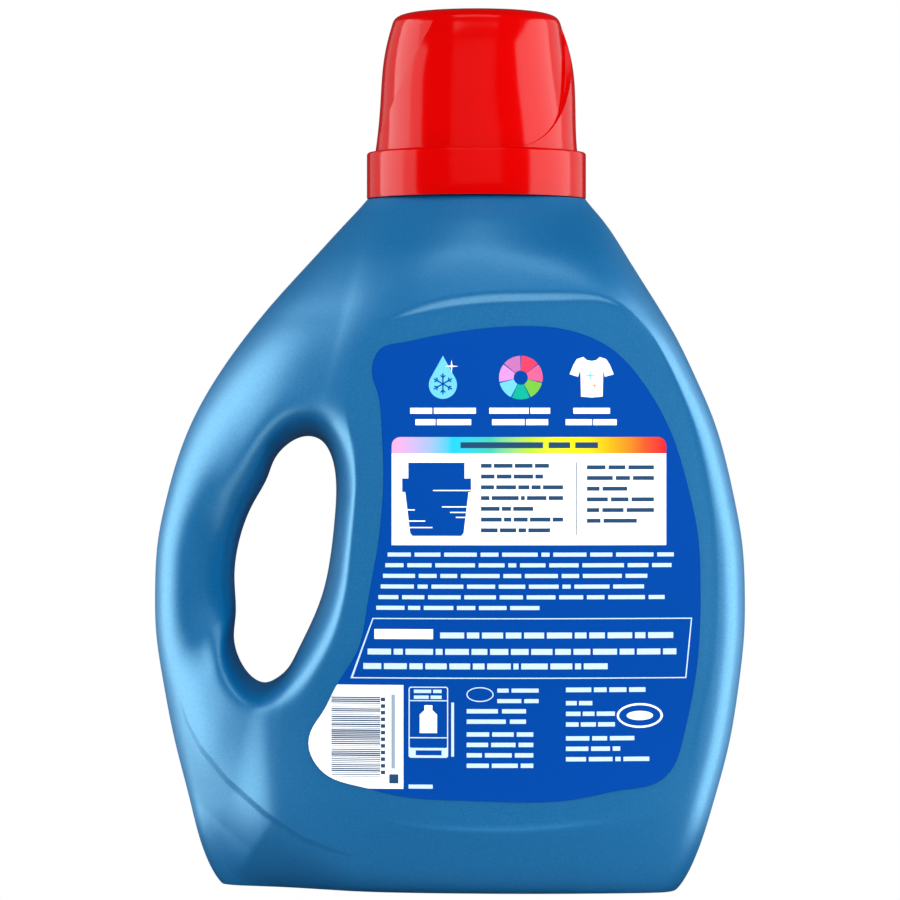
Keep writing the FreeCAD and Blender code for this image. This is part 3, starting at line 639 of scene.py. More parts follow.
    def half_depths(self, spots: np.ndarray, angle: float, from_grip: np.ndarray,
                    from_outline: np.ndarray, outline: np.ndarray, panel: np.ndarray) -> np.ndarray:
        """Half depth of the skin along one section.

        Args:
            spots: Points of the section in the side view.
            angle: The section's direction from the grip's centre, in degrees.
            from_grip: Distances of the points from the grip's edge.
            from_outline: Distances of the points from the outline, along the section.
            outline: The side outline's polygon.
            panel: The sunk panel's polygon.

        Returns:
            Half depths in millimetres.
        """
        length = from_grip[-1]
        handle = min(max(self.rule(angle, 4), 0.0), 1.0)
        square_on, _ = distance_and_side(spots, outline)
        edge = square_on + (from_outline - square_on) * handle
        level = spots[:, 1] / self.shoulder_z
        body = self.half_depth * along(self.depth_profile, level)
        crown = 1.0 - smooth_step((level - self.crown_fade) / (1.0 - self.crown_fade))
        body -= (spots[:, 0] - self.crown_x) ** 2 / (2.0 * self.crown_radius) * crown
        body = body * (1.0 - handle) + self.handle_half_depth * handle
        for distance, width, fullness in (
                (from_grip, self.rule(angle, 1), self.grip_fullness),
                (edge, self.rule(angle, 2), self.rule(angle, 3))):
            reach = smooth_min(width, length / 2.0, self.rim_softness)
            left, ease = 1.0 - np.maximum(distance, 0.0) / reach, self.rim_easing
            left = (left + np.hypot(left, ease)) / (1.0 + math.hypot(1.0, ease))
            body = body * (1.0 - np.minimum(left, 1.0) ** fullness) ** (1.0 / fullness)
        gap, inside = distance_and_side(spots, panel)
        ledge = self.panel_depth(spots[:, 0]) + self.ledge_slope * np.where(inside, 0.0, gap)
        body = smooth_min(body, ledge, self.ledge_softness)
        taper = smooth_step(edge / self.crease_taper)
        return body - self.crease_relief(spots) * (1.0 - handle) * taper

    def section(self, angle: float, start: float, eased: float, reach: float, outline: np.ndarray,
                panel: np.ndarray) -> np.ndarray:
        """Points of the near half of one section, closer together where it bends.

        Args:
            angle: Direction from the grip's centre, in degrees.
            start: Distance of the grip's edge from the grip's centre.
            eased: The same distance without the finger notches.
            reach: Distance of the outline from the grip's centre.
            outline: The side outline's polygon.
            panel: The sunk panel's polygon.

        Returns:
            Rows of x, half depth and z, from the grip's edge to the outline.
        """
        turn = math.radians(angle)
        centre, ahead = np.array(self.grip_centre), np.array([math.cos(turn), math.sin(turn)])
        share = (1.0 - np.cos(np.linspace(0.0, math.pi, self.samples))) / 2.0
        place = start + (reach - start) * share
        spots = centre + place[:, None] * ahead
        past = place - start
        past = past + (start - eased) * smooth_step(past / self.notch_reach)
        depth = self.half_depths(spots, angle, past, reach - place, outline, panel)
        depth[0] = depth[-1] = 0.0
        steps = np.hypot(np.diff(place), np.diff(depth))
        heading = np.unwrap(np.arctan2(np.diff(depth), np.diff(place)))
        bend = np.abs(np.diff(heading, prepend=heading[0]))
        weight = steps + self.bend_weight * np.convolve(bend, np.ones(5) / 5.0, mode="same")
        travel = np.concatenate([[0.0], np.cumsum(weight)])
        wanted = np.linspace(0.0, travel[-1], self.half_loop + 1)
        spots = centre + np.interp(wanted, travel, place)[:, None] * ahead
        return np.column_stack([spots[:, 0], np.interp(wanted, travel, depth), spots[:, 1]])

    def skin(self) -> tuple[np.ndarray, list]:
        """Points and faces of the closed ring-shaped skin, before it is trimmed."""
        outline = spline_points(self.outline(), self.sections)
        half, height = self.width / 2.0, self.shoulder_z
        panel = spline_points([(x * half, z * height) for x, z in self.panel], self.panel_points)
        grip = spline_points([(x * self.grip_width, z * self.grip_height) for x, z in self.grip],
                             self.grip_points)
        bearing = np.degrees(np.arctan2(grip[:, 1], grip[:, 0])) % 360.0
        order = np.argsort(bearing)
        reach_of = np.hypot(grip[:, 0], grip[:, 1])[order]
        bearing = bearing[order]
        around = np.arange(360.0)
        even = np.interp(around, bearing, reach_of, period=360.0)
        offsets = (around + 180.0) % 360.0 - 180.0
        blur = np.exp(-0.5 * (offsets / self.notch_blur) ** 2)
        even = np.real(np.fft.ifft(np.fft.fft(even) * np.fft.fft(blur / blur.sum())))
        rows = []
        for x, z in outline:
            offset_x, offset_z = x - self.grip_centre[0], z - self.grip_centre[1]
            angle = math.degrees(math.atan2(offset_z, offset_x)) % 360.0
            start = float(np.interp(angle, bearing, reach_of, period=360.0))
            eased = float(np.interp(angle, around, even, period=360.0))
            near = self.section(angle, start, eased, math.hypot(offset_x, offset_z), outline, panel)
            rows.append(np.vstack([near * np.array([1.0, -1.0, 1.0]), near[-2:0:-1]]))
        return np.vstack(rows), ring_faces(self.sections, len(rows[0]), closed=True)

    def neck_profile(self) -> Points:
        """Radius and height of the neck, from the shoulder's flat over the lip to its blind floor."""
        low, top = self.shoulder_z, self.shoulder_z + self.neck_height
        outer, bore, lip = self.neck_radius, self.neck_radius - self.neck_wall, self.lip_round
        return [(outer + self.neck_fillet, low), (outer, low + self.neck_fillet),
                (outer, top - lip), (outer - lip, top), (bore + lip, top), (bore, top - lip),
                (bore, low - self.neck_floor)]

    def build(self, finish: Material) -> Object:
        """Make the bottle as one closed mesh: trimmed skin, arched base and neck.

        Args:
            finish: The bottle's material.

        Returns:
            The bottle's object.
        """
        item = mesh_object("bottle_shell", *self.skin(), finish)
        with editing(item) as work:
            for height, normal in ((0.0, (0, 0, -1)), (self.shoulder_z, (0, 0, 1))):
                everything = work.verts[:] + work.edges[:] + work.faces[:]
                bmesh.ops.bisect_plane(work, geom=everything, dist=1e-7, plane_co=(0, 0, height * MM),
                                       plane_no=normal, clear_outer=True)
            self.close_base(work)
            self.close_neck(work)
            bmesh.ops.recalc_face_normals(work, faces=work.faces)
            for face in work.faces:
                face.smooth = True
        sharpen(item, self.sharp_degrees)
        return item

    def open_loop(self, work: BMesh, height: float) -> list:
        """Corners of the open edge at a height, in order round the loop."""
        edges = {edge for edge in work.edges if len(edge.link_faces) == 1
                 and all(abs(corner.co.z - height * MM) < 1e-6 for corner in edge.verts)}
        first = next(iter(edges))
        loop = [first.verts[0], first.verts[1]]
        edges.discard(first)
        while edges:
            following = [edge for edge in loop[-1].link_edges if edge in edges]
            if not following:
                break
            edges.discard(following[0])
            corner = following[0].other_vert(loop[-1])
            if corner is loop[0]:
                break
            loop.append(corner)
        return loop

    def close_base(self, work: BMesh) -> None:
        """Close the base with a standing ring and a shallow arch."""
        last = loop = self.open_loop(work, 0.0)
        middle = sum((corner.co for corner in loop), Vector()) / len(loop)
        for share, rise in self.base_rings:
            ring = []
            for corner in loop:
                spot = middle.lerp(corner.co, share)
                spot.z = rise * self.base_arch * MM
                ring.append(work.verts.new(spot))
            last = bridge(work, last, ring)
        work.faces.new(last)

    def close_neck(self, work: BMesh) -> None:
        """Close the shoulder's flat top with the neck's wall, lip and blind bore."""
        last = loop = self.open_loop(work, self.shoulder_z)
        turns = [math.atan2(corner.co.y, corner.co.x - self.neck_x * MM) for corner in loop]
        for radius, height in self.neck_profile():
            ring = [work.verts.new(((self.neck_x + radius * math.cos(turn)) * MM,
                                    radius * math.sin(turn) * MM, height * MM)) for turn in turns]
            last = bridge(work, last, ring)
        work.faces.new(last)


@dataclass
class Cap:
    """The screw cap with its dosing cup: a skirt, a swirled wall, a domed top and an inner cup."""

    axis_x: float = NECK_X
    skirt_bottom: float = 227.8
    skirt_radius: float = 36.5
    skirt_wall: float = 1.9
    skirt_height: float = 15.4
    cup_base_radius: float = 33.7
    cup_top_radius: float = 28.3
    cup_height: float = 42.0
    top_rise: float = 4.75
    swirl_bulge: float = 2.1
    swirl_turn: float = 76.0
    swirl_start: float = 13.5
    step_degrees: float = 1.0
    dose_mouth_drop: float = 16.7
    dose_radius: float = 29.4
    dose_wall: float = 1.5
    dose_draft: float = 2.5
    wall: float = 1.6
    gap_drop: float = 11.0
    gap_taper: float = 5.4
    dome_wall: float = 2.2
    base_fillet: float = 0.35
    fillet_height: float = 0.5
    swirl_ease: float = 2.3
    bulge_ease: float = 1.55
    bulge_run: float = 0.75
    sharp_degrees: float = 32.0
    sector_columns: int = 150
    swirl_rows: int = 90
    sectors: int = 3
    step_flank: tuple = (0.94, 0.72, 0.28, 0.06)
    crown: tuple = ((0.0, 0.0), (0.45, 0.30), (1.25, 0.56), (2.8, 0.76), (5.4, 0.90), (9.0, 0.97),
                    (13.0, 1.0))
    crown_insets: tuple = (0.12, 0.28, 0.5, 0.8, 1.25, 1.9, 2.8, 4.0, 5.4, 7.0, 9.0, 11.0, 13.0, 17.0,
                           22.0, 27.5)

    def ring(self, height: float, cone: float, bulge: float = 0.0, turned: float = 0.0) -> np.ndarray:
        """One ring of the cap, stepped where the swirl's creases cross it.

        Args:
            height: The ring's height.
            cone: Its radius just before a step.
            bulge: Height of the steps.
            turned: How far the swirl has turned here, in degrees.

        Returns:
            Rows of x, y and z in millimetres.
        """
        rows = []
        sector, step = 360.0 / self.sectors, self.step_degrees
        flank = np.array(self.step_flank)
        shares = np.linspace(0.0, 1.0, self.sector_columns - len(flank))
        lift = np.concatenate([smooth_step(shares / self.bulge_run), flank])
        for number in range(self.sectors):
            crease = self.swirl_start + turned + sector * number
            angles = np.concatenate([crease - step - (sector - step) * shares,
                                     crease - sector - step * (1.0 - flank)])
            radius, turn = cone + bulge * lift, np.radians(angles)
            rows.append(np.column_stack([self.axis_x + radius * np.sin(turn),
                                         -radius * np.cos(turn), np.full(len(turn), height)]))
        return np.vstack(rows)

    def outside(self) -> list[np.ndarray]:
        """Rings up the outside, from the skirt's lip to the middle of the domed top."""
        low, skirt = self.skirt_bottom, self.skirt_radius
        skirt_top = low + self.skirt_height
        base, top = skirt_top - 0.2, skirt_top + self.cup_height
        places = [(low, skirt - 0.35), (low + 0.1, skirt - 0.1), (low + 0.35, skirt)]
        places += [(low + self.skirt_height * share, skirt) for share in (0.25, 0.5, 0.75, 0.94)]
        places += [(skirt_top - drop, skirt - inset)
                   for drop, inset in ((0.55, 0.07), (0.28, 0.24), (0.08, 0.48), (0.0, 0.8))]
        places.append((skirt_top - 0.02, self.cup_base_radius + 0.5))
        rings = [self.ring(height, radius) for height, radius in places]
        for row in range(self.swirl_rows + 1):
            share = row / self.swirl_rows
            rise = share ** self.swirl_ease
            cone = self.cup_base_radius + (self.cup_top_radius - self.cup_base_radius) * rise
            fillet = self.base_fillet * max(0.0, 1.0 - (top - base) * rise / self.fillet_height)
            rings.append(self.ring(base + (top - base) * rise, cone + fillet,
                                   self.swirl_bulge * math.sin(math.pi * rise ** self.bulge_ease),
                                   self.swirl_turn * share))
        rises = along(self.crown, np.array(self.crown_insets))
        return rings + [self.ring(top + self.top_rise * float(rise), self.cup_top_radius - inset,
                                  turned=self.swirl_turn)
                        for inset, rise in zip(self.crown_insets, rises)]

    def inside(self) -> list[np.ndarray]:
        """Rings down the inside, from under the dome by the dosing cup's lip to the skirt's lip."""
        low, base = self.skirt_bottom, self.cup_base_radius - self.wall
        skirt_top = low + self.skirt_height
        top, mouth = skirt_top + self.cup_height, low - self.dose_mouth_drop
        outer, bore = self.dose_radius, self.dose_radius - self.dose_wall
        skirt = self.skirt_radius - self.skirt_wall
        gap_top = top - self.gap_drop
        gap_outer = base - self.gap_taper * (gap_top - skirt_top) / self.cup_height
        slope = self.dose_draft / (top - mouth)
        places = [(2.0, top + self.top_rise - self.dome_wall), (bore - self.dose_draft, top - 1.5),
                  (bore, mouth + 0.3), (bore + 0.25, mouth), (outer - 0.25, mouth),
                  (outer, mouth + 0.3), (outer - slope * (gap_top - mouth), gap_top),
                  (gap_outer, gap_top), (base, skirt_top - 0.3), (skirt, skirt_top - 1.8),
                  (skirt, low + 0.3), (skirt + 0.3, low)]
        return [self.ring(height, radius) for radius, height in places]

    def build(self, finish: Material) -> Object:
        """Make the cap as one closed mesh.

        Args:
            finish: The cap's material.

        Returns:
            The cap's object.
        """
        stack = self.outside()[::-1] + self.inside()[::-1]
        count = len(stack[0])
        faces = ring_faces(len(stack), count, closed=False)
        faces += [tuple(range(count)), tuple(range((len(stack) - 1) * count, len(stack) * count))]
        item = mesh_object("cap_shell", np.vstack(stack), faces, finish)
        face_outwards(item)
        sharpen(item, self.sharp_degrees)
        return item


@dataclass
class PourSpout:
    """The fitment in the neck: a flanged collar, a gutter and a slotted, slanting spout."""

    axis_x: float = NECK_X
    flange_top: float = 240.7
    flange_underside: float = 239.5
    flange_radius: float = 33.4
    collar_radius: float = 31.6
    collar_bore: float = 30.1
    gutter_z: float = 207.0
    wall: float = 1.4
    spout_radius: float = 17.0
    spout_top: float = 254.0
    slot_half_width: float = 4.5
    slot_floor: float = 228.0
    lip_tilt: float = 14.0
    sharp_degrees: float = 30.0
    lip_flare: float = 0.3
    columns: int = 180

    def build_collar(self, finish: Material) -> Object:
        """Make the collar and gutter as one turned, closed mesh."""
        inner, outer, flange = self.collar_bore, self.collar_radius, self.flange_radius
        low, high, under = self.gutter_z, self.flange_top, self.flange_underside
        floor, hole = low + self.wall, self.spout_radius - self.wall + 0.1
        profile = [(inner, high - 0.3), (inner, floor + 1.2), (inner - 0.35, floor + 0.35),
                   (inner - 1.2, floor), (self.spout_radius - 0.05, floor), (hole, floor),
                   (hole, low), (outer - 0.4, low), (outer, low + 0.4), (outer, under),
                   (flange, under), (flange, high - 0.3), (flange - 0.3, high), (inner + 0.3, high)]
        turns = np.linspace(0.0, 2.0 * math.pi, self.columns, endpoint=False)
        rows = [np.column_stack([self.axis_x + radius * np.cos(turns), radius * np.sin(turns),
                                 np.full(len(turns), height)]) for radius, height in profile]
        item = mesh_object("spout_collar", np.vstack(rows),
                           ring_faces(len(rows), self.columns, closed=True), finish)
        face_outwards(item)
        sharpen(item, self.sharp_degrees)
        return item

    def lip_height(self, x: float) -> float:
        """Height of the slanting lip at a distance from the spout's axis."""
        return self.spout_top - (self.spout_radius - x) * math.tan(math.radians(self.lip_tilt))

    def build_tube(self, finish: Material) -> Object:
        """Make the slotted tube with its slanting lip as one closed mesh."""
        outer, inner = self.spout_radius, self.spout_radius - self.wall
        turns = np.linspace(-math.pi, math.pi, self.columns, endpoint=False)
        gap = math.asin(self.slot_half_width / outer)
        turns = np.sort(np.concatenate([turns, [math.pi - gap, -math.pi + gap]]))
        levels = [(self.gutter_z, 0.0), (self.gutter_z + 3.0, 0.0), (self.slot_floor, 0.0)]
        levels += [(self.slot_floor, share) for share in (0.25, 0.5, 0.75, 0.97, 1.0)]
        grid = {}
        work = bmesh.new()

        def corner(row: int, column: int, side: int) -> BMVert:
            """The corner at a level and a turn, on the outer side 0 or the inner side 1."""
            key = (row, column, side)
            if key not in grid:
                turn = turns[column]
                radius = (outer, inner)[side]
                x, y = radius * math.cos(turn), radius * math.sin(turn)
                if abs(abs(turn) - (math.pi - gap)) < 1e-9:
                    y = math.copysign(self.slot_half_width, y)
                    x = -math.sqrt(radius ** 2 - y ** 2)
                low, share = levels[row]
                height = low + (self.lip_height(x) - low) * share
                if row == len(levels) - 1:
                    lip = radius + (side - 0.5) * self.lip_flare
                    x, y = x * lip / radius, y * lip / radius
                grid[key] = work.verts.new(((self.axis_x + x) * MM, y * MM, height * MM))
            return grid[key]

        def present(row: int, column: int) -> bool:
            """Whether the wall is there between two levels and two turns."""
            if row < 0 or row >= len(levels) - 1:
                return False
            middle = (turns[column] + turns[(column + 1) % len(turns)]) / 2.0
            if column == len(turns) - 1:
                middle = math.pi
            return row < 2 or abs(middle) < math.pi - gap
        number = len(turns)
        for row in range(len(levels) - 1):
            for column in range(number):
                if not present(row, column):
                    continue
                other = (column + 1) % number
                for side in (0, 1):
                    work.faces.new((corner(row, column, side), corner(row, other, side),
                                    corner(row + 1, other, side), corner(row + 1, column, side)))
                for near, first, second in (
                        (present(row - 1, column), (row, column), (row, other)),
                        (present(row + 1, column), (row + 1, column), (row + 1, other)),
                        (present(row, (column - 1) % number), (row, column), (row + 1, column)),
                        (present(row, other), (row, other), (row + 1, other))):
                    if not near:
                        work.faces.new((corner(*first, 0), corner(*second, 0), corner(*second, 1),
                                        corner(*first, 1)))
        bmesh.ops.recalc_face_normals(work, faces=work.faces)
        for face in work.faces:
            face.smooth = True
        item = work_object("spout_tube", work, [finish])
        sharpen(item, self.sharp_degrees)
        return item


@dataclass
class LabelFace:
    """The curved face of one sunk label panel, on which film and ink are laid."""

    side: Side
    crown_x: float = PANEL_CROWN_X
    radius: float = PANEL_RADIUS
    half_depth: float = PANEL_HALF_DEPTH
    slice_width: float = 3.0

    def depth(self, x: float, above: float) -> float:
        """Y of a point some millimetres out from the panel."""
        reach = self.radius + above
        return self.side.value * (self.half_depth - self.radius
                                  + math.sqrt(reach ** 2 - (x - self.crown_x) ** 2))

    def lay(self, work: BMesh, loops: Sequence[Loop], low: float, high: float,
            material_index: int) -> None:
        """Add a thin closed sheet that follows the panel.

        Args:
            work: Mesh that gets the sheet.
            loops: Outline and holes as x and z in millimetres.
            low: Height of the sheet's back above the panel.
            high: Height of the sheet's face above the panel.
            material_index: Number of its finish on the mesh.
        """
        flat = bmesh.new()
        corners = [flat.verts.new((x, 0.0, z)) for loop in loops for x, z in loop]
        rims = [[Vector((x, z, 0.0)) for x, z in loop] for loop in loops]
        for triangle in tessellate_polygon(rims):
            flat.faces.new([corners[index] for index in triangle])
        left = min(corner.co.x for corner in corners)
        right = max(corner.co.x for corner in corners)
        cut = math.ceil(left / self.slice_width) * self.slice_width
        while cut < right:
            everything = flat.verts[:] + flat.edges[:] + flat.faces[:]
            bmesh.ops.bisect_plane(flat, geom=everything, dist=1e-4, plane_co=(cut, 0, 0),
                                   plane_no=(1, 0, 0))
            cut += self.slice_width
        flat.verts.index_update()
        sheets = []
        for above in (low, high):
            sheets.append([work.verts.new((corner.co.x * MM, self.depth(corner.co.x, above) * MM,
                                           corner.co.z * MM)) for corner in flat.verts])
        backs, fronts = sheets
        for face in flat.faces:
            for sheet in sheets:
                made = work.faces.new([sheet[corner.index] for corner in face.verts])
                made.material_index = material_index
        for edge in flat.edges:
            if len(edge.link_faces) == 1:
                first, second = (corner.index for corner in edge.verts)
                made = work.faces.new((backs[first], backs[second], fronts[second], fronts[first]))
                made.material_index = material_index
        flat.free()


def polar(x: float, z: float, reach: float, degrees: float) -> tuple[float, float]:
    """The point at a distance and direction from another."""
    turn = math.radians(degrees)
    return (x + reach * math.cos(turn), z + reach * math.sin(turn))


def rectangle(left: float, low: float, right: float, high: float, corner: float = 0.0) -> Points:
    """Outline of a rectangle, with rounded corners if asked.

    Args:
        left: Left side's x.
        low: Height of the low edge.
        right: Right side's x.
        high: Height of the high edge.
        corner: Radius of the corners.

    Returns:
        The outline's points.
    """
    if corner <= 0.0:
        return [(left, low), (right, low), (right, high), (left, high)]
    centres = ((right - corner, low + corner, -90), (right - corner, high - corner, 0),
               (left + corner, high - corner, 90), (left + corner, low + corner, 180))
    return [polar(x, z, corner, start + turn) for x, z, start in centres for turn in range(0, 91, 15)]


def oval(x: float, z: float, half_width: float, half_height: float, count: int = 40) -> Points:
    """Outline of an ellipse."""
    turns = [2.0 * math.pi * step / count for step in range(count)]
    return [(x + half_width * math.cos(turn), z + half_height * math.sin(turn)) for turn in turns]


def wedge(x: float, z: float, inner: float, outer: float, start: float, end: float) -> Points:
    """Outline of a slice of a ring between two angles in degrees."""
    turns = [start + (end - start) * step / 10.0 for step in range(11)]
    return ([polar(x, z, outer, turn) for turn in turns]
            + [polar(x, z, inner, turn) for turn in turns[::-1]])


def grown(points: Loop, step: float) -> Points:
    """An outline moved outwards, or inwards for a negative step."""
    spots = np.array(points, float)
    run = np.roll(spots, -1, axis=0) - np.roll(spots, 1, axis=0)
    normal = np.column_stack([run[:, 1], -run[:, 0]]) / np.linalg.norm(run, axis=1)[:, None]
    following = np.roll(spots, -1, axis=0)
    area = (spots[:, 0] * following[:, 1] - following[:, 0] * spots[:, 1]).sum()
    moved = spots + normal * step * math.copysign(1.0, area)
    return [(float(x), float(z)) for x, z in moved]


def clipped(points: Loop, left: float, low: float, right: float, high: float) -> Points:
    """The part of an outline that lies inside an upright rectangle."""
    spots = [(float(x), float(z)) for x, z in points]
    for axis, limit, sign in ((0, left, 1.0), (0, right, -1.0), (1, low, 1.0), (1, high, -1.0)):
        kept = []
        for index, spot in enumerate(spots):
            before = spots[index - 1]
            inside, was_inside = sign * (spot[axis] - limit) >= 0, sign * (before[axis] - limit) >= 0
            if inside != was_inside:
                share = (limit - before[axis]) / (spot[axis] - before[axis])
                kept.append((before[0] + share * (spot[0] - before[0]),
                             before[1] + share * (spot[1] - before[1])))
            if inside:
                kept.append(spot)
        spots = kept
    return spots


def star(x: float, z: float, reach: float, points: int = 4, waist: float = 0.16) -> Loop:
    """Outline of a star with slender points."""
    return [polar(x, z, reach * (waist if index % 2 else 1.0), 90.0 + 180.0 * index / points)
            for index in range(2 * points)]


def bar(start: tuple[float, float], end: tuple[float, float], width: float) -> Loop:
    """Outline of a straight bar between two points."""
    run = np.subtract(end, start)
    across = np.array([-run[1], run[0]]) / np.linalg.norm(run) * width / 2.0
    return [tuple(np.add(start, across)), tuple(np.add(end, across)),
            tuple(np.subtract(end, across)), tuple(np.subtract(start, across))]


@dataclass
class TextBlock:
    """Rows of plain bars that stand in for lines of small print."""

    ink: "Ink"
    left: float
    top: float
    width: float
    lines: int
    words: int
    pitch: float
    height: float
    ragged: float = 0.0
    slant: float = 0.0
    spread: float = 0.0
    fill: float = 0.87


def new_group(name: str,
              sockets: dict[str, Sequence[str]]) -> tuple[NodeTree, bpy.types.NodeOutputs]:
    """Make a node group with named inputs.

    Args:
        name: The group's name.
        sockets: Names of its inputs, by kind.

    Returns:
        The group, and the inputs' sockets by name.
    """
    tree = bpy.data.node_groups.new(name, "GeometryNodeTree")
    tree.interface.new_socket("Geometry", in_out="INPUT", socket_type="NodeSocketGeometry")
    for kind, names in sockets.items():
        for socket in names:
            tree.interface.new_socket(socket, in_out="INPUT", socket_type="NodeSocket" + kind)
    tree.interface.new_socket("Geometry", in_out="OUTPUT", socket_type="NodeSocketGeometry")
    return tree, tree.nodes.new("NodeGroupInput").outputs


def bar_tree() -> NodeTree:
    """Node group that lays rows of bars of uneven length on a label's curved face."""
    tree, given = new_group("print_bars", {
        "Float": ("Left", "Top", "Cell", "Pitch", "Height", "Ragged", "Slant", "Spread", "Fill",
                  "Side", "Crown X", "Radius", "Half Depth", "Thickness"),
        "Int": ("Lines", "Words", "Seed"), "Material": ("Ink",)})
    lines, words, seed, cell, pitch = (given[name] for name in ("Lines", "Words", "Seed", "Cell",
                                                                "Pitch"))

    def maths(operation: str, *values: object) -> NodeSocket:
        """One maths node on sockets and numbers."""
        links = {f"in{place}": value for place, value in enumerate(values)}
        return add_node(tree, "ShaderNodeMath", {"operation": operation}, **links).outputs[0]

    def chance(**links: object) -> NodeSocket:
        """A random number from 0 to 1."""
        return add_node(tree, "FunctionNodeRandomValue", {"data_type": "FLOAT"}, **links).outputs[1]

    add, sub, mul, div = (partial(maths, name) for name in ("ADD", "SUBTRACT", "MULTIPLY", "DIVIDE"))
    wide, tall = mul(cell, sub(words, 1.0)), mul(pitch, sub(lines, 1.0))
    grid = add_node(tree, "GeometryNodeMeshGrid", Size_X=wide, Size_Y=tall, Vertices_X=words,
                    Vertices_Y=lines)
    spot = add_node(tree, "ShaderNodeSeparateXYZ",
                    Vector=add_node(tree, "GeometryNodeInputPosition").outputs[0]).outputs
    row = maths("ROUND", div(sub(mul(tall, 0.5), spot["Y"]), maths("MAXIMUM", pitch, TINY)))
    column = div(add(spot["X"], mul(wide, 0.5)), maths("MAXIMUM", cell, TINY))
    reach = mul(words, sub(1.0, mul(chance(ID=row, Seed=seed), given["Ragged"])))
    shown = add_node(tree, "GeometryNodeDeleteGeometry", {"domain": "POINT"},
                     Geometry=grid.outputs["Mesh"],
                     Selection=maths("GREATER_THAN", add(column, WORD_SHARE_KEPT), reach))
    column = maths("ROUND", column)

    def word_edge(place: NodeSocket) -> NodeSocket:
        """Where a word starts, uneven except at the two ends of its line."""
        wander = chance(ID=maths("MULTIPLY_ADD", row, LINE_STRIDE, place),
                        Seed=add(seed, WANDER_SEED))
        inner = maths("MINIMUM", maths("MINIMUM", place, sub(words, place)), WORD_WANDER)
        return mul(cell, add(place, mul(sub(wander, 0.5), inner)))

    begin, end = word_edge(column), word_edge(add(column, 1.0))
    length = sub(sub(end, begin), mul(cell, sub(1.0, given["Fill"])))
    squeeze = sub(1.0, mul(chance(Seed=add(seed, THICKNESS_SEED)), given["Spread"]))
    size = add_node(tree, "ShaderNodeCombineXYZ", X=length, Y=given["Thickness"],
                    Z=mul(given["Height"], squeeze))
    cube = add_node(tree, "GeometryNodeMeshCube", Vertices_X=5)
    bars = add_node(tree, "GeometryNodeInstanceOnPoints", Points=shown.outputs[0],
                    Instance=cube.outputs["Mesh"], Scale=size.outputs[0])
    middle = add(add(given["Left"], mul(row, given["Slant"])), add(begin, mul(length, 0.5)))
    place = add_node(tree, "ShaderNodeCombineXYZ", X=middle, Z=sub(given["Top"], mul(pitch, row)))
    placed = add_node(tree, "GeometryNodeSetPosition", Geometry=bars.outputs[0],
                      Position=place.outputs[0])
    real = add_node(tree, "GeometryNodeRealizeInstances", Geometry=placed.outputs[0])
    at = add_node(tree, "ShaderNodeSeparateXYZ",
                  Vector=add_node(tree, "GeometryNodeInputPosition").outputs[0]).outputs
    across, radius = sub(at["X"], given["Crown X"]), given["Radius"]
    arch = maths("SQRT", sub(mul(radius, radius), mul(across, across)))
    depth = add(sub(given["Half Depth"], radius), arch)
    curved = add_node(tree, "ShaderNodeCombineXYZ", X=at["X"], Z=at["Z"],
                      Y=add(at["Y"], mul(depth, given["Side"])))
    bent = add_node(tree, "GeometryNodeSetPosition", Geometry=real.outputs[0],
                    Position=curved.outputs[0])
    inked = add_node(tree, "GeometryNodeSetMaterial", Geometry=bent.outputs[0], Material=given["Ink"])
    add_node(tree, "NodeGroupOutput", in0=inked.outputs[0])
    return tree


def thread_tree() -> NodeTree:
    """Node group that sweeps a small ridge along a screw thread's helix."""
    tree, given = new_group("screw_thread", {
        "Float": ("Turns", "Radius", "Rise", "Ridge", "Axis X", "Low Z"), "Material": ("Finish",)})
    helix = add_node(tree, "GeometryNodeCurveSpiral", Resolution=96, Rotations=given["Turns"],
                     Start_Radius=given["Radius"], End_Radius=given["Radius"], Height=given["Rise"])
    ridge = add_node(tree, "GeometryNodeCurvePrimitiveCircle", Resolution=10, Radius=given["Ridge"])
    swept = add_node(tree, "GeometryNodeCurveToMesh", Curve=helix.outputs[0],
                     Profile_Curve=ridge.outputs[0], Fill_Caps=True)
    place = add_node(tree, "ShaderNodeCombineXYZ", X=given["Axis X"], Z=given["Low Z"])
    moved = add_node(tree, "GeometryNodeTransform", Geometry=swept.outputs[0],
                     Translation=place.outputs[0])
    real = add_node(tree, "GeometryNodeRealizeInstances", Geometry=moved.outputs[0])
    done = add_node(tree, "GeometryNodeSetMaterial", Geometry=real.outputs[0],
                    Material=given["Finish"])
    add_node(tree, "NodeGroupOutput", in0=done.outputs[0])
    return tree


def grow(name: str, tree: NodeTree, values: dict) -> Object:
    """Run a node group with some inputs and keep what it makes as a plain mesh.

    Args:
        name: The piece's name.
        tree: The node group.
        values: Inputs by socket name.

    Returns:
        The new object, without modifiers.
    """
    item = place_object(name, bpy.data.meshes.new(name + "_seed"), [])
    modifier = item.modifiers.new(name, "NODES")
    modifier.node_group = tree
    for socket in tree.interface.items_tree:
        if socket.item_type == "SOCKET" and socket.in_out == "INPUT" and socket.name in values:
            modifier[socket.identifier] = values[socket.name]
    item.update_tag()
    bpy.context.view_layer.update()
    finished = item.evaluated_get(bpy.context.evaluated_depsgraph_get())
    made = bpy.data.meshes.new_from_object(finished)
    item.modifiers.clear()
    item.data = made
    return item


def joined(name: str, items: Sequence[Object]) -> Object:
    """Join objects at the origin into the first of them under a new name."""
    work = bmesh.new()
    materials = []
    for item in items:
        start = len(work.faces)
        work.from_mesh(item.data)
        work.faces.ensure_lookup_table()
        numbers = []
        for material in item.data.materials:
            if material not in materials:
                materials.append(material)
            numbers.append(materials.index(material))
        for face in work.faces[start:]:
            face.material_index = numbers[face.material_index]
    for item in items:
        bpy.data.objects.remove(item)
    return work_object(name, work, materials)


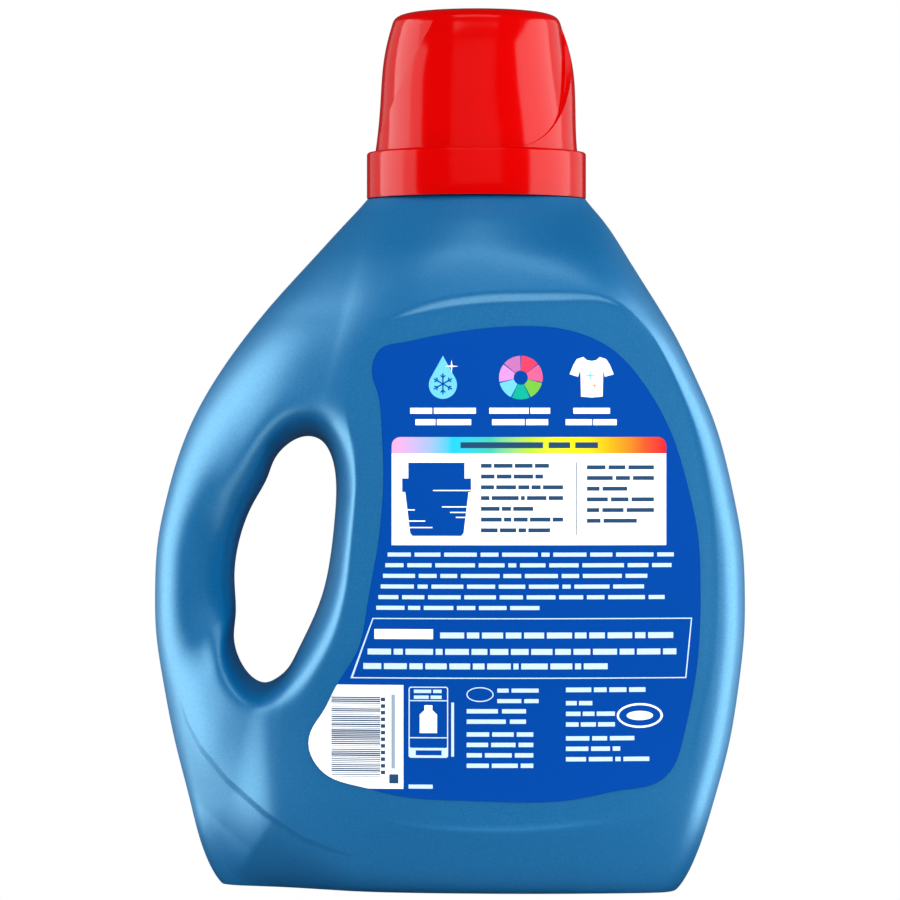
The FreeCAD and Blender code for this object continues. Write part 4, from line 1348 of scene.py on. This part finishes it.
class Ink(Enum):
    """Inks of the two labels, by their place in the list of label finishes."""

    FILM = 0
    WHITE = 1
    PALE = 2
    SLATE = 3
    RAINBOW = 4
    SKY = 5
    CRIMSON = 6
    ROSE = 7
    LEAF = 8
    TEAL = 9
    LILAC = 10
    MAUVE = 11
    AMBER = 12
    MIST = 13


@dataclass
class Label:
    """One label: the film on a sunk panel and the shapes printed on it."""

    side: Side
    half_width: float = 97.8
    shoulder_z: float = SHOULDER_Z
    gap: float = 0.1
    film: float = 0.2
    ink: float = 0.05
    ink_sink: float = 0.02
    ink_step: float = 0.0004
    bar_depth: float = 0.2
    face: LabelFace = field(init=False)
    outline_points: tuple = (
        (-0.253, 0.74), (-0.246, 0.765), (-0.223, 0.779), (-0.167, 0.786), (-0.061, 0.795),
        (0.101, 0.806), (0.267, 0.81), (0.389, 0.805), (0.482, 0.792), (0.555, 0.773), (0.638, 0.734),
        (0.704, 0.69), (0.751, 0.645), (0.8, 0.573), (0.83, 0.508), (0.837, 0.442), (0.834, 0.369),
        (0.817, 0.301), (0.778, 0.221), (0.741, 0.179), (0.691, 0.16), (0.579, 0.15), (0.432, 0.138),
        (0.134, 0.134), (-0.011, 0.136), (-0.16, 0.141), (-0.293, 0.154), (-0.405, 0.17),
        (-0.448, 0.19), (-0.465, 0.211), (-0.458, 0.232), (-0.419, 0.259), (-0.372, 0.298),
        (-0.303, 0.347), (-0.27, 0.41), (-0.237, 0.491), (-0.223, 0.54), (-0.217, 0.581),
        (-0.217, 0.622), (-0.223, 0.674), (-0.237, 0.718))

    def __post_init__(self) -> None:
        """Set the curved face that the label lies on."""
        self.face = LabelFace(self.side)

    def outline(self, step: float = 0.0) -> Loop:
        """The film's outline, moved outwards by a step."""
        points = [(x * self.half_width, z * self.shoulder_z) for x, z in self.outline_points]
        return grown(spline_points(points, 260), step)

    def wheel(self) -> Shapes:
        """Seven coloured segments round a hub."""
        inks = (Ink.CRIMSON, Ink.ROSE, Ink.LEAF, Ink.TEAL, Ink.SKY, Ink.LILAC, Ink.MAUVE)
        turn, gap = 360.0 / len(inks), 1.6
        return [(ink, [wedge(23.4, 167.6, 2.3, 7.05, 90.0 - turn * (index + 1) + gap,
                             90.0 - turn * index - gap)]) for index, ink in enumerate(inks)]

    def drop_icon(self) -> Shapes:
        """A water drop with a frost star and a sparkle."""
        x, z = -1.8, 165.6
        drop = [(x, 174.7)]
        drop += [polar(x, 165.3, 4.55, 25.0 - 230.0 * step / 24.0) for step in range(25)]
        shapes = [(Ink.SKY, [drop]), (Ink.WHITE, [star(1.0, 171.3, 2.2)])]
        for turn in (30.0, 90.0, 150.0):
            reach = polar(0.0, 0.0, 3.4, turn)
            shapes.append((Ink.FILM, [bar((x - reach[0], z - reach[1]),
                                          (x + reach[0], z + reach[1]), 0.45)]))
        for turn in range(30, 390, 60):
            root = polar(x, z, 2.0, turn)
            shapes += [(Ink.FILM, [bar(root, polar(*root, 1.1, turn + lean), 0.4)])
                       for lean in (-45.0, 45.0)]
        return shapes

    def shirt_icon(self) -> Shapes:
        """A plain shirt with two sparkles."""
        shirt = [(43.65, 174.3), (44.8, 173.3), (46.4, 173.0), (47.8, 173.3), (49.0, 174.3),
                 (51.1, 173.6), (52.3, 171.7), (53.5, 168.7), (50.6, 167.9), (50.1, 170.1),
                 (49.9, 161.5), (46.4, 161.2), (42.9, 161.5), (42.7, 170.1), (41.9, 167.9),
                 (39.2, 168.7), (40.4, 171.7), (41.5, 173.6)]
        return [(Ink.WHITE, [shirt]), (Ink.SKY, [star(45.9, 168.3, 2.3)]),
                (Ink.AMBER, [star(47.3, 165.0, 1.6)])]

    def dose_panel(self) -> Shapes:
        """The white panel with its rainbow heading and a measuring-cup picture."""
        left, low, right, high, heading = -18.4, 113.4, 70.6, 148.4, 143.1
        corner = 2.8
        band = [(left, heading), (right, heading)]
        for x, start in ((right - corner, 0.0), (left + corner, 90.0)):
            band += [polar(x, high - corner, corner, start + turn) for turn in range(0, 91, 15)]
        cup = [(-13.0, 140.1), (5.2, 140.1), (5.2, 135.0), (7.3, 135.0), (7.3, 130.6), (6.5, 130.6),
               (4.9, 117.3), (4.1, 116.4), (-11.6, 116.4), (-12.4, 117.3), (-14.0, 130.6),
               (-15.0, 130.6), (-15.0, 135.0), (-13.0, 135.0)]
        shapes = [(Ink.WHITE, [rectangle(left, low, right, heading)]), (Ink.RAINBOW, [band]),
                  (Ink.SLATE, [rectangle(41.35, 116.7, 41.65, 140.3)]), (Ink.FILM, [cup])]
        for start, end, height in ((-5.0, 7.3, 131.1), (-2.1, 6.1, 125.8), (0.5, 5.8, 124.0),
                                   (2.4, 5.6, 122.4), (-13.4, -10.9, 124.8), (-13.0, -7.5, 121.2),
                                   (-12.6, -5.2, 119.1)):
            shapes.append((Ink.WHITE, [rectangle(start, height - 0.18, end, height + 0.18)]))
        for start, end in ((3.9, 30.6), (32.4, 39.4), (41.0, 48.4)):
            shapes.append((Ink.SLATE, [rectangle(start, 144.8, end, 146.7)]))
        return shapes

    def small_print_frames(self) -> Shapes:
        """The leaning frame, the code's patch, the disposal box and two plain ovals."""
        frame = [(-31.8, 70.2), (77.2, 70.2), (79.1, 89.8), (-24.6, 89.8)]
        hole = [(-31.0, 70.55), (76.85, 70.55), (78.7, 89.45), (-24.35, 89.45)]
        patch = clipped(self.outline(-0.05), -60.0, 34.5, -14.6, 68.1)
        shapes = [(Ink.PALE, [frame, hole]), (Ink.WHITE, [patch]),
                  (Ink.WHITE, [rectangle(-24.0, 83.0, -5.0, 86.2)]),
                  (Ink.PALE, [rectangle(-12.9, 44.6, -0.1, 67.6, 0.8),
                              rectangle(-12.55, 47.8, -0.45, 67.25, 0.5)]),
                  (Ink.PALE, [rectangle(-12.6, 62.9, -0.4, 63.25)]),
                  (Ink.PALE, [rectangle(-12.6, 50.9, -0.4, 51.25)]),
                  (Ink.FILM, [rectangle(-10.6, 45.4, -2.2, 47.0)]),
                  (Ink.PALE, [rectangle(0.9, 45.0, 1.8, 62.5)]),
                  (Ink.PALE, [rectangle(-12.9, 34.6, -5.1, 35.9)]),
                  (Ink.MIST, [rectangle(-18.5, 41.0, -17.3, 65.0)]),
                  (Ink.SLATE, [rectangle(-19.2, 36.2, -16.2, 39.2, 0.4)]),
                  (Ink.PALE, [oval(10.2, 65.1, 4.4, 2.4), oval(10.2, 65.1, 4.05, 2.05)]),
                  (Ink.WHITE, [oval(62.0, 58.2, 7.5, 4.0), oval(62.0, 58.2, 6.8, 3.35)]),
                  (Ink.WHITE, [oval(62.0, 58.2, 4.3, 1.5)])]
        flask = [(-9.3, 52.6), (-3.7, 52.6), (-3.7, 58.6), (-5.2, 60.0), (-5.2, 61.6), (-7.8, 61.6),
                 (-7.8, 60.0), (-9.3, 58.6)]
        return shapes + [(Ink.WHITE, [flask])]

    def shop_motif(self) -> Shapes:
        """Plain colour fields for the far side, which the photograph doesn't show."""
        wave = [(x, 104.0 + 14.0 * math.sin((x + 30.0) / 42.0)) for x in range(-26, 77, 3)]
        lower = [(x, z - 5.0) for x, z in wave[::-1]]
        return [(Ink.WHITE, [oval(24.0, 136.0, 34.0, 17.0, 64)]),
                (Ink.FILM, [oval(24.0, 136.0, 32.4, 15.6, 64)]),
                (Ink.WHITE, [rectangle(2.0, 137.5, 46.0, 143.0, 1.2)]),
                (Ink.PALE, [rectangle(8.0, 129.5, 40.0, 133.0, 1.0)]),
                (Ink.RAINBOW, [wave + lower]),
                *((ink, [oval(x, z, reach, reach)]) for x, z, ink, reach in (
                    (-14.0, 72.0, Ink.WHITE, 11.0), (-14.0, 72.0, Ink.SKY, 8.5),
                    (24.0, 66.0, Ink.WHITE, 11.0), (24.0, 66.0, Ink.LEAF, 8.5),
                    (60.0, 72.0, Ink.WHITE, 9.5), (60.0, 72.0, Ink.ROSE, 7.2)))]

    def blocks(self) -> list[tuple[int, TextBlock]]:
        """Rows of bars in place of the small print of this side, each with its seed."""
        if self.side is Side.SHOP:
            return [(3, TextBlock(Ink.PALE, -8.0, 168.0, 52.0, 2, 7, 4.2, 1.9, 0.25)),
                    (5, TextBlock(Ink.PALE, -18.0, 48.0, 78.0, 2, 12, 4.0, 1.4, 0.25))]
        blocks = [TextBlock(Ink.WHITE, left, top, width, 1, words, 3.7, 1.9, fill=fill)
                  for left, top, width, words, fill in (
                      (-12.4, 156.9, 21.8, 2, 0.95), (-10.7, 153.2, 18.5, 2, 0.95),
                      (13.2, 156.9, 20.2, 2, 0.95), (14.1, 153.2, 18.6, 2, 0.95),
                      (40.4, 156.9, 11.9, 1, 1.0), (37.9, 153.2, 17.0, 2, 0.95))]
        blocks += [TextBlock(Ink.SLATE, 10.5, 139.1, 27.3, 7, 5, 3.48, 1.3, 0.4),
                   TextBlock(Ink.SLATE, 44.8, 138.6, 22.8, 6, 3, 3.46, 1.3, 0.3)]
        blocks += [TextBlock(Ink.PALE, *sizes) for sizes in (
            (-19.7, 110.35, 94.0, 5, 10, 3.45, 1.3, 0.12, -0.75),
            (-23.4, 93.1, 54.0, 1, 6, 3.45, 1.3),
            (-2.7, 84.2, 76.5, 1, 11, 4.9, 1.9), (-26.2, 78.9, 101.0, 1, 15, 4.9, 1.9),
            (-27.6, 74.2, 80.0, 1, 12, 4.9, 1.9))]
        blocks += [TextBlock(Ink.SLATE, -38.0, 64.0, 15.9, 42, 1, 0.625, 0.5, spread=0.75, fill=1.0),
                   TextBlock(Ink.SLATE, -21.9, 63.4, 1.4, 12, 1, 2.15, 1.2, fill=1.0)]
        blocks += [TextBlock(Ink.PALE, *sizes) for sizes in (
            (15.8, 66.4, 14.3, 2, 2, 3.4, 1.3, 0.1), (5.9, 59.7, 20.5, 2, 2, 3.35, 1.4, 0.1),
            (5.9, 52.2, 22.5, 4, 3, 3.37, 1.4, 0.2), (38.0, 66.6, 26.7, 1, 4, 3.4, 1.5),
            (38.0, 62.3, 16.6, 3, 3, 3.45, 1.4, 0.3), (38.0, 50.9, 28.0, 3, 4, 3.37, 1.4, 0.35),
            (-11.2, 66.1, 9.6, 2, 2, 1.9, 1.1))]
        return list(enumerate(blocks, 1))

    def build(self, finishes: Sequence[Material],
              tree: NodeTree) -> list[Object]:
        """Make the film and its print.

        Args:
            finishes: Label finishes in the order of the inks.
            tree: The node group that lays rows of bars.

        Returns:
            The objects of the film, the printed shapes and the rows of bars.
        """
        word = self.side.name.lower()
        top = self.gap + self.film
        work = bmesh.new()
        self.face.lay(work, [self.outline()], self.gap, top, 0)
        bmesh.ops.recalc_face_normals(work, faces=work.faces)
        film = work_object(f"label_film_{word}", work, finishes)
        if self.side is Side.DIRECTIONS:
            shapes = (self.dose_panel() + self.small_print_frames() + self.wheel()
                      + self.drop_icon() + self.shirt_icon())
        else:
            shapes = self.shop_motif()
        work = bmesh.new()
        for place, (ink, loops) in enumerate(shapes):
            self.face.lay(work, loops, top - self.ink_sink, top + self.ink + self.ink_step * place,
                          ink.value)
        bmesh.ops.recalc_face_normals(work, faces=work.faces)
        printed = work_object(f"label_shapes_{word}", work, finishes)
        bars = [grow(f"bars_{seed}", tree, {
            "Left": block.left * MM, "Top": block.top * MM, "Cell": block.width / block.words * MM,
            "Lines": block.lines, "Words": block.words, "Pitch": block.pitch * MM,
            "Height": block.height * MM, "Ragged": block.ragged, "Slant": block.slant * MM,
            "Spread": block.spread, "Fill": block.fill, "Seed": seed, "Side": self.side.value,
            "Crown X": self.face.crown_x * MM, "Radius": (self.face.radius + top) * MM,
            "Half Depth": (self.face.half_depth + top) * MM, "Thickness": self.bar_depth * MM,
            "Ink": finishes[block.ink.value]}) for seed, block in self.blocks()]
        return [film, printed, joined(f"label_bars_{word}", bars)]


@dataclass
class Studio:
    """The white set: floor, soft lights and the long-lens camera."""

    camera_at: tuple[float, float, float] = (0.0005, -1.75, 0.1442)
    frame_width: float = 0.3
    floor_half: float = 0.14
    aim: tuple[float, float, float] = (0.0, 0.0, 0.15)

    def light(self, name: str, place: Sequence[float], target: Sequence[float], size: Sequence[float],
              radiance: float, mirrored: bool = True) -> None:
        """Add a soft rectangular light.

        Args:
            name: The light's name.
            place: Where it stands, in metres.
            target: The point it faces.
            size: Its width and height.
            radiance: Brightness of its face, where 1 renders as white.
            mirrored: Whether glossy surfaces show it.
        """
        data = bpy.data.lights.new(name, "AREA")
        data.shape = "RECTANGLE"
        data.size, data.size_y = size
        data.energy = radiance * math.pi * size[0] * size[1]
        item = bpy.data.objects.new(name, data)
        item.location = place
        item.rotation_euler = (Vector(target) - Vector(place)).to_track_quat("-Z", "Y").to_euler()
        item.visible_glossy = mirrored
        bpy.context.scene.collection.objects.link(item)

    def build(self) -> None:
        """Make the floor, world, lights and camera."""
        scene = bpy.context.scene
        world = bpy.data.worlds.new("studio")
        scene.world = world
        world.use_nodes = True
        tree = world.node_tree
        tree.nodes.clear()
        path = add_node(tree, "ShaderNodeLightPath")
        white = add_node(tree, "ShaderNodeBackground", Color=(1, 1, 1, 1), Strength=1.0)
        fill = add_node(tree, "ShaderNodeBackground", Color=(1, 1, 1, 1), Strength=0.05)
        mix = add_node(tree, "ShaderNodeMixShader", in0=path.outputs["Is Camera Ray"],
                       in1=fill.outputs[0], in2=white.outputs[0])
        add_node(tree, "ShaderNodeOutputWorld", Surface=mix.outputs[0])
        self.floor()
        tall, low = (1.2, 1.4), (1.2, 0.4)
        for name, place, target, size, radiance in (
                ("left_softbox", (-1.1, 0.25, 0.24), (0.0, 0.25, 0.24), (0.8, 1.3), 3.6),
                ("left_feather", (-1.1, -0.32, 0.20), (0.0, -0.32, 0.20), (0.36, 1.4), 2.0),
                ("right_softbox", (1.1, -0.10, 0.20), (0.0, -0.10, 0.20), tall, 3.4),
                ("left_rim", (-1.1, 1.30, 0.20), (0.0, 1.30, 0.20), tall, 0.5),
                ("right_rim", (1.1, 1.10, 0.20), (0.0, 1.10, 0.20), tall, 0.9),
                ("top_softbox", (0.0, -0.76, 1.32), self.aim, low, 1.8),
                ("low_softbox", (0.0, -0.62, -0.62), self.aim, low, 2.6)):
            self.light(name, place, target, size, radiance)
        self.light("front_fill", (0.0, -2.2, 1.0), self.aim, (2.4, 1.6), 6.4, mirrored=False)
        data = bpy.data.cameras.new("camera")
        data.lens = data.sensor_width * abs(self.camera_at[1]) / self.frame_width
        camera = bpy.data.objects.new("camera", data)
        camera.location = self.camera_at
        camera.rotation_euler = (math.pi / 2.0, 0.0, 0.0)
        scene.collection.objects.link(camera)
        scene.camera = camera
        scene.view_settings.view_transform = "Standard"

    def floor(self) -> None:
        """Lay a small sheet of paper that the camera sees as pure white and that bounces light."""
        half = self.floor_half
        mesh = bpy.data.meshes.new("floor")
        mesh.from_pydata([(-half, -half, 0), (half, -half, 0), (half, half, 0), (-half, half, 0)], [],
                         [(0, 1, 2, 3)])
        place_object("floor", mesh, [SeamlessPaper().build()])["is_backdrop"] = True


def label_finishes() -> list[Material]:
    """Finishes of the labels, in the order of the inks."""
    inks = {
        Ink.FILM: ("royal_blue_label_film", "#004094", "#003D90"),
        Ink.WHITE: ("white_screen_ink", "#FFFFFF", "#F6F8FA"),
        Ink.PALE: ("pale_blue_screen_ink", "#C4DAF0", "#B4CEE8"),
        Ink.SLATE: ("slate_screen_ink", "#24486A", "#1E3F60"),
        Ink.SKY: ("sky_blue_screen_ink", "#6CC4F2", "#62BBEC"),
        Ink.CRIMSON: ("crimson_screen_ink", "#F0405E", "#E63A58"),
        Ink.ROSE: ("rose_screen_ink", "#F2608A", "#EA5882"),
        Ink.LEAF: ("leaf_green_screen_ink", "#72B840", "#6AAE3A"),
        Ink.TEAL: ("teal_screen_ink", "#10A890", "#0CA088"),
        Ink.LILAC: ("lilac_screen_ink", "#D090D0", "#C886C8"),
        Ink.MAUVE: ("mauve_screen_ink", "#B870AC", "#B068A4"),
        Ink.AMBER: ("amber_screen_ink", "#C89430", "#BE8A2A"),
        Ink.MIST: ("grey_screen_ink", "#8FA3B5", "#8698AA")}
    stops = ((0.0, "#DC9AC6"), (0.12, "#9FA8D8"), (0.22, "#20B8E0"), (0.36, "#3CB6A0"),
             (0.5, "#A8CC38"), (0.66, "#F4E418"), (0.8, "#F8A018"), (0.92, "#F05028"),
             (1.0, "#EC1C30"))
    made = {ink: PrintedFilm(*words).build() for ink, words in inks.items()}
    made[Ink.RAINBOW] = RainbowInk("rainbow_screen_ink", -18.4, 70.6, stops).build()
    return [made[ink] for ink in Ink]


def main() -> None:
    """Build the studio and every piece of the bottle."""
    logging.basicConfig(level=logging.INFO, format="%(message)s")
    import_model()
    Studio().build()
    pearl = PearlPolyethylene().build()
    red = MouldedPlastic("glossy_red_polypropylene", "#BE0000", "#B80000", 0.13).build()
    blue = MouldedPlastic("blue_moulded_polyethylene", "#0E5FA8", "#0A579C", 0.34).build()
    inks = label_finishes()
    bars, threads = bar_tree(), thread_tree()

    shell = BottleShell().build(pearl)
    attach(shell, "bottle")
    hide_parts("bottle")
    cap = Cap().build(red)
    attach(cap, "cap")
    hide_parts("cap")
    spout = PourSpout()
    fitment = [spout.build_collar(blue), spout.build_tube(blue)]
    for item in fitment:
        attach(item, "bottle")
        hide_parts("pour_spout")
    for name, body, slot, radius, ridge, low, material in (
            ("cap_thread", "cap", "red_plastic", 29.25, 0.35, 214.5, red),
            ("collar_thread", "bottle", "spout_plastic", 30.12, 0.32, 228.0, blue)):
        item = grow(name, threads, {
            "Turns": THREAD_TURNS, "Radius": radius * MM, "Rise": THREAD_RISE_MM * MM,
            "Ridge": ridge * MM, "Axis X": NECK_X * MM, "Low Z": low * MM, "Finish": material})
        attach(item, body)
    for side, node in ((Side.DIRECTIONS, "back_label"), (Side.SHOP, "front_label")):
        made = Label(side).build(inks, bars)
        for item in made:
            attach(item, "bottle")
        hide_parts(node)
    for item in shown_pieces():
        LOG.info("%s: %d faces", item.name, len(item.data.polygons))


if __name__ == "__main__":
    main()
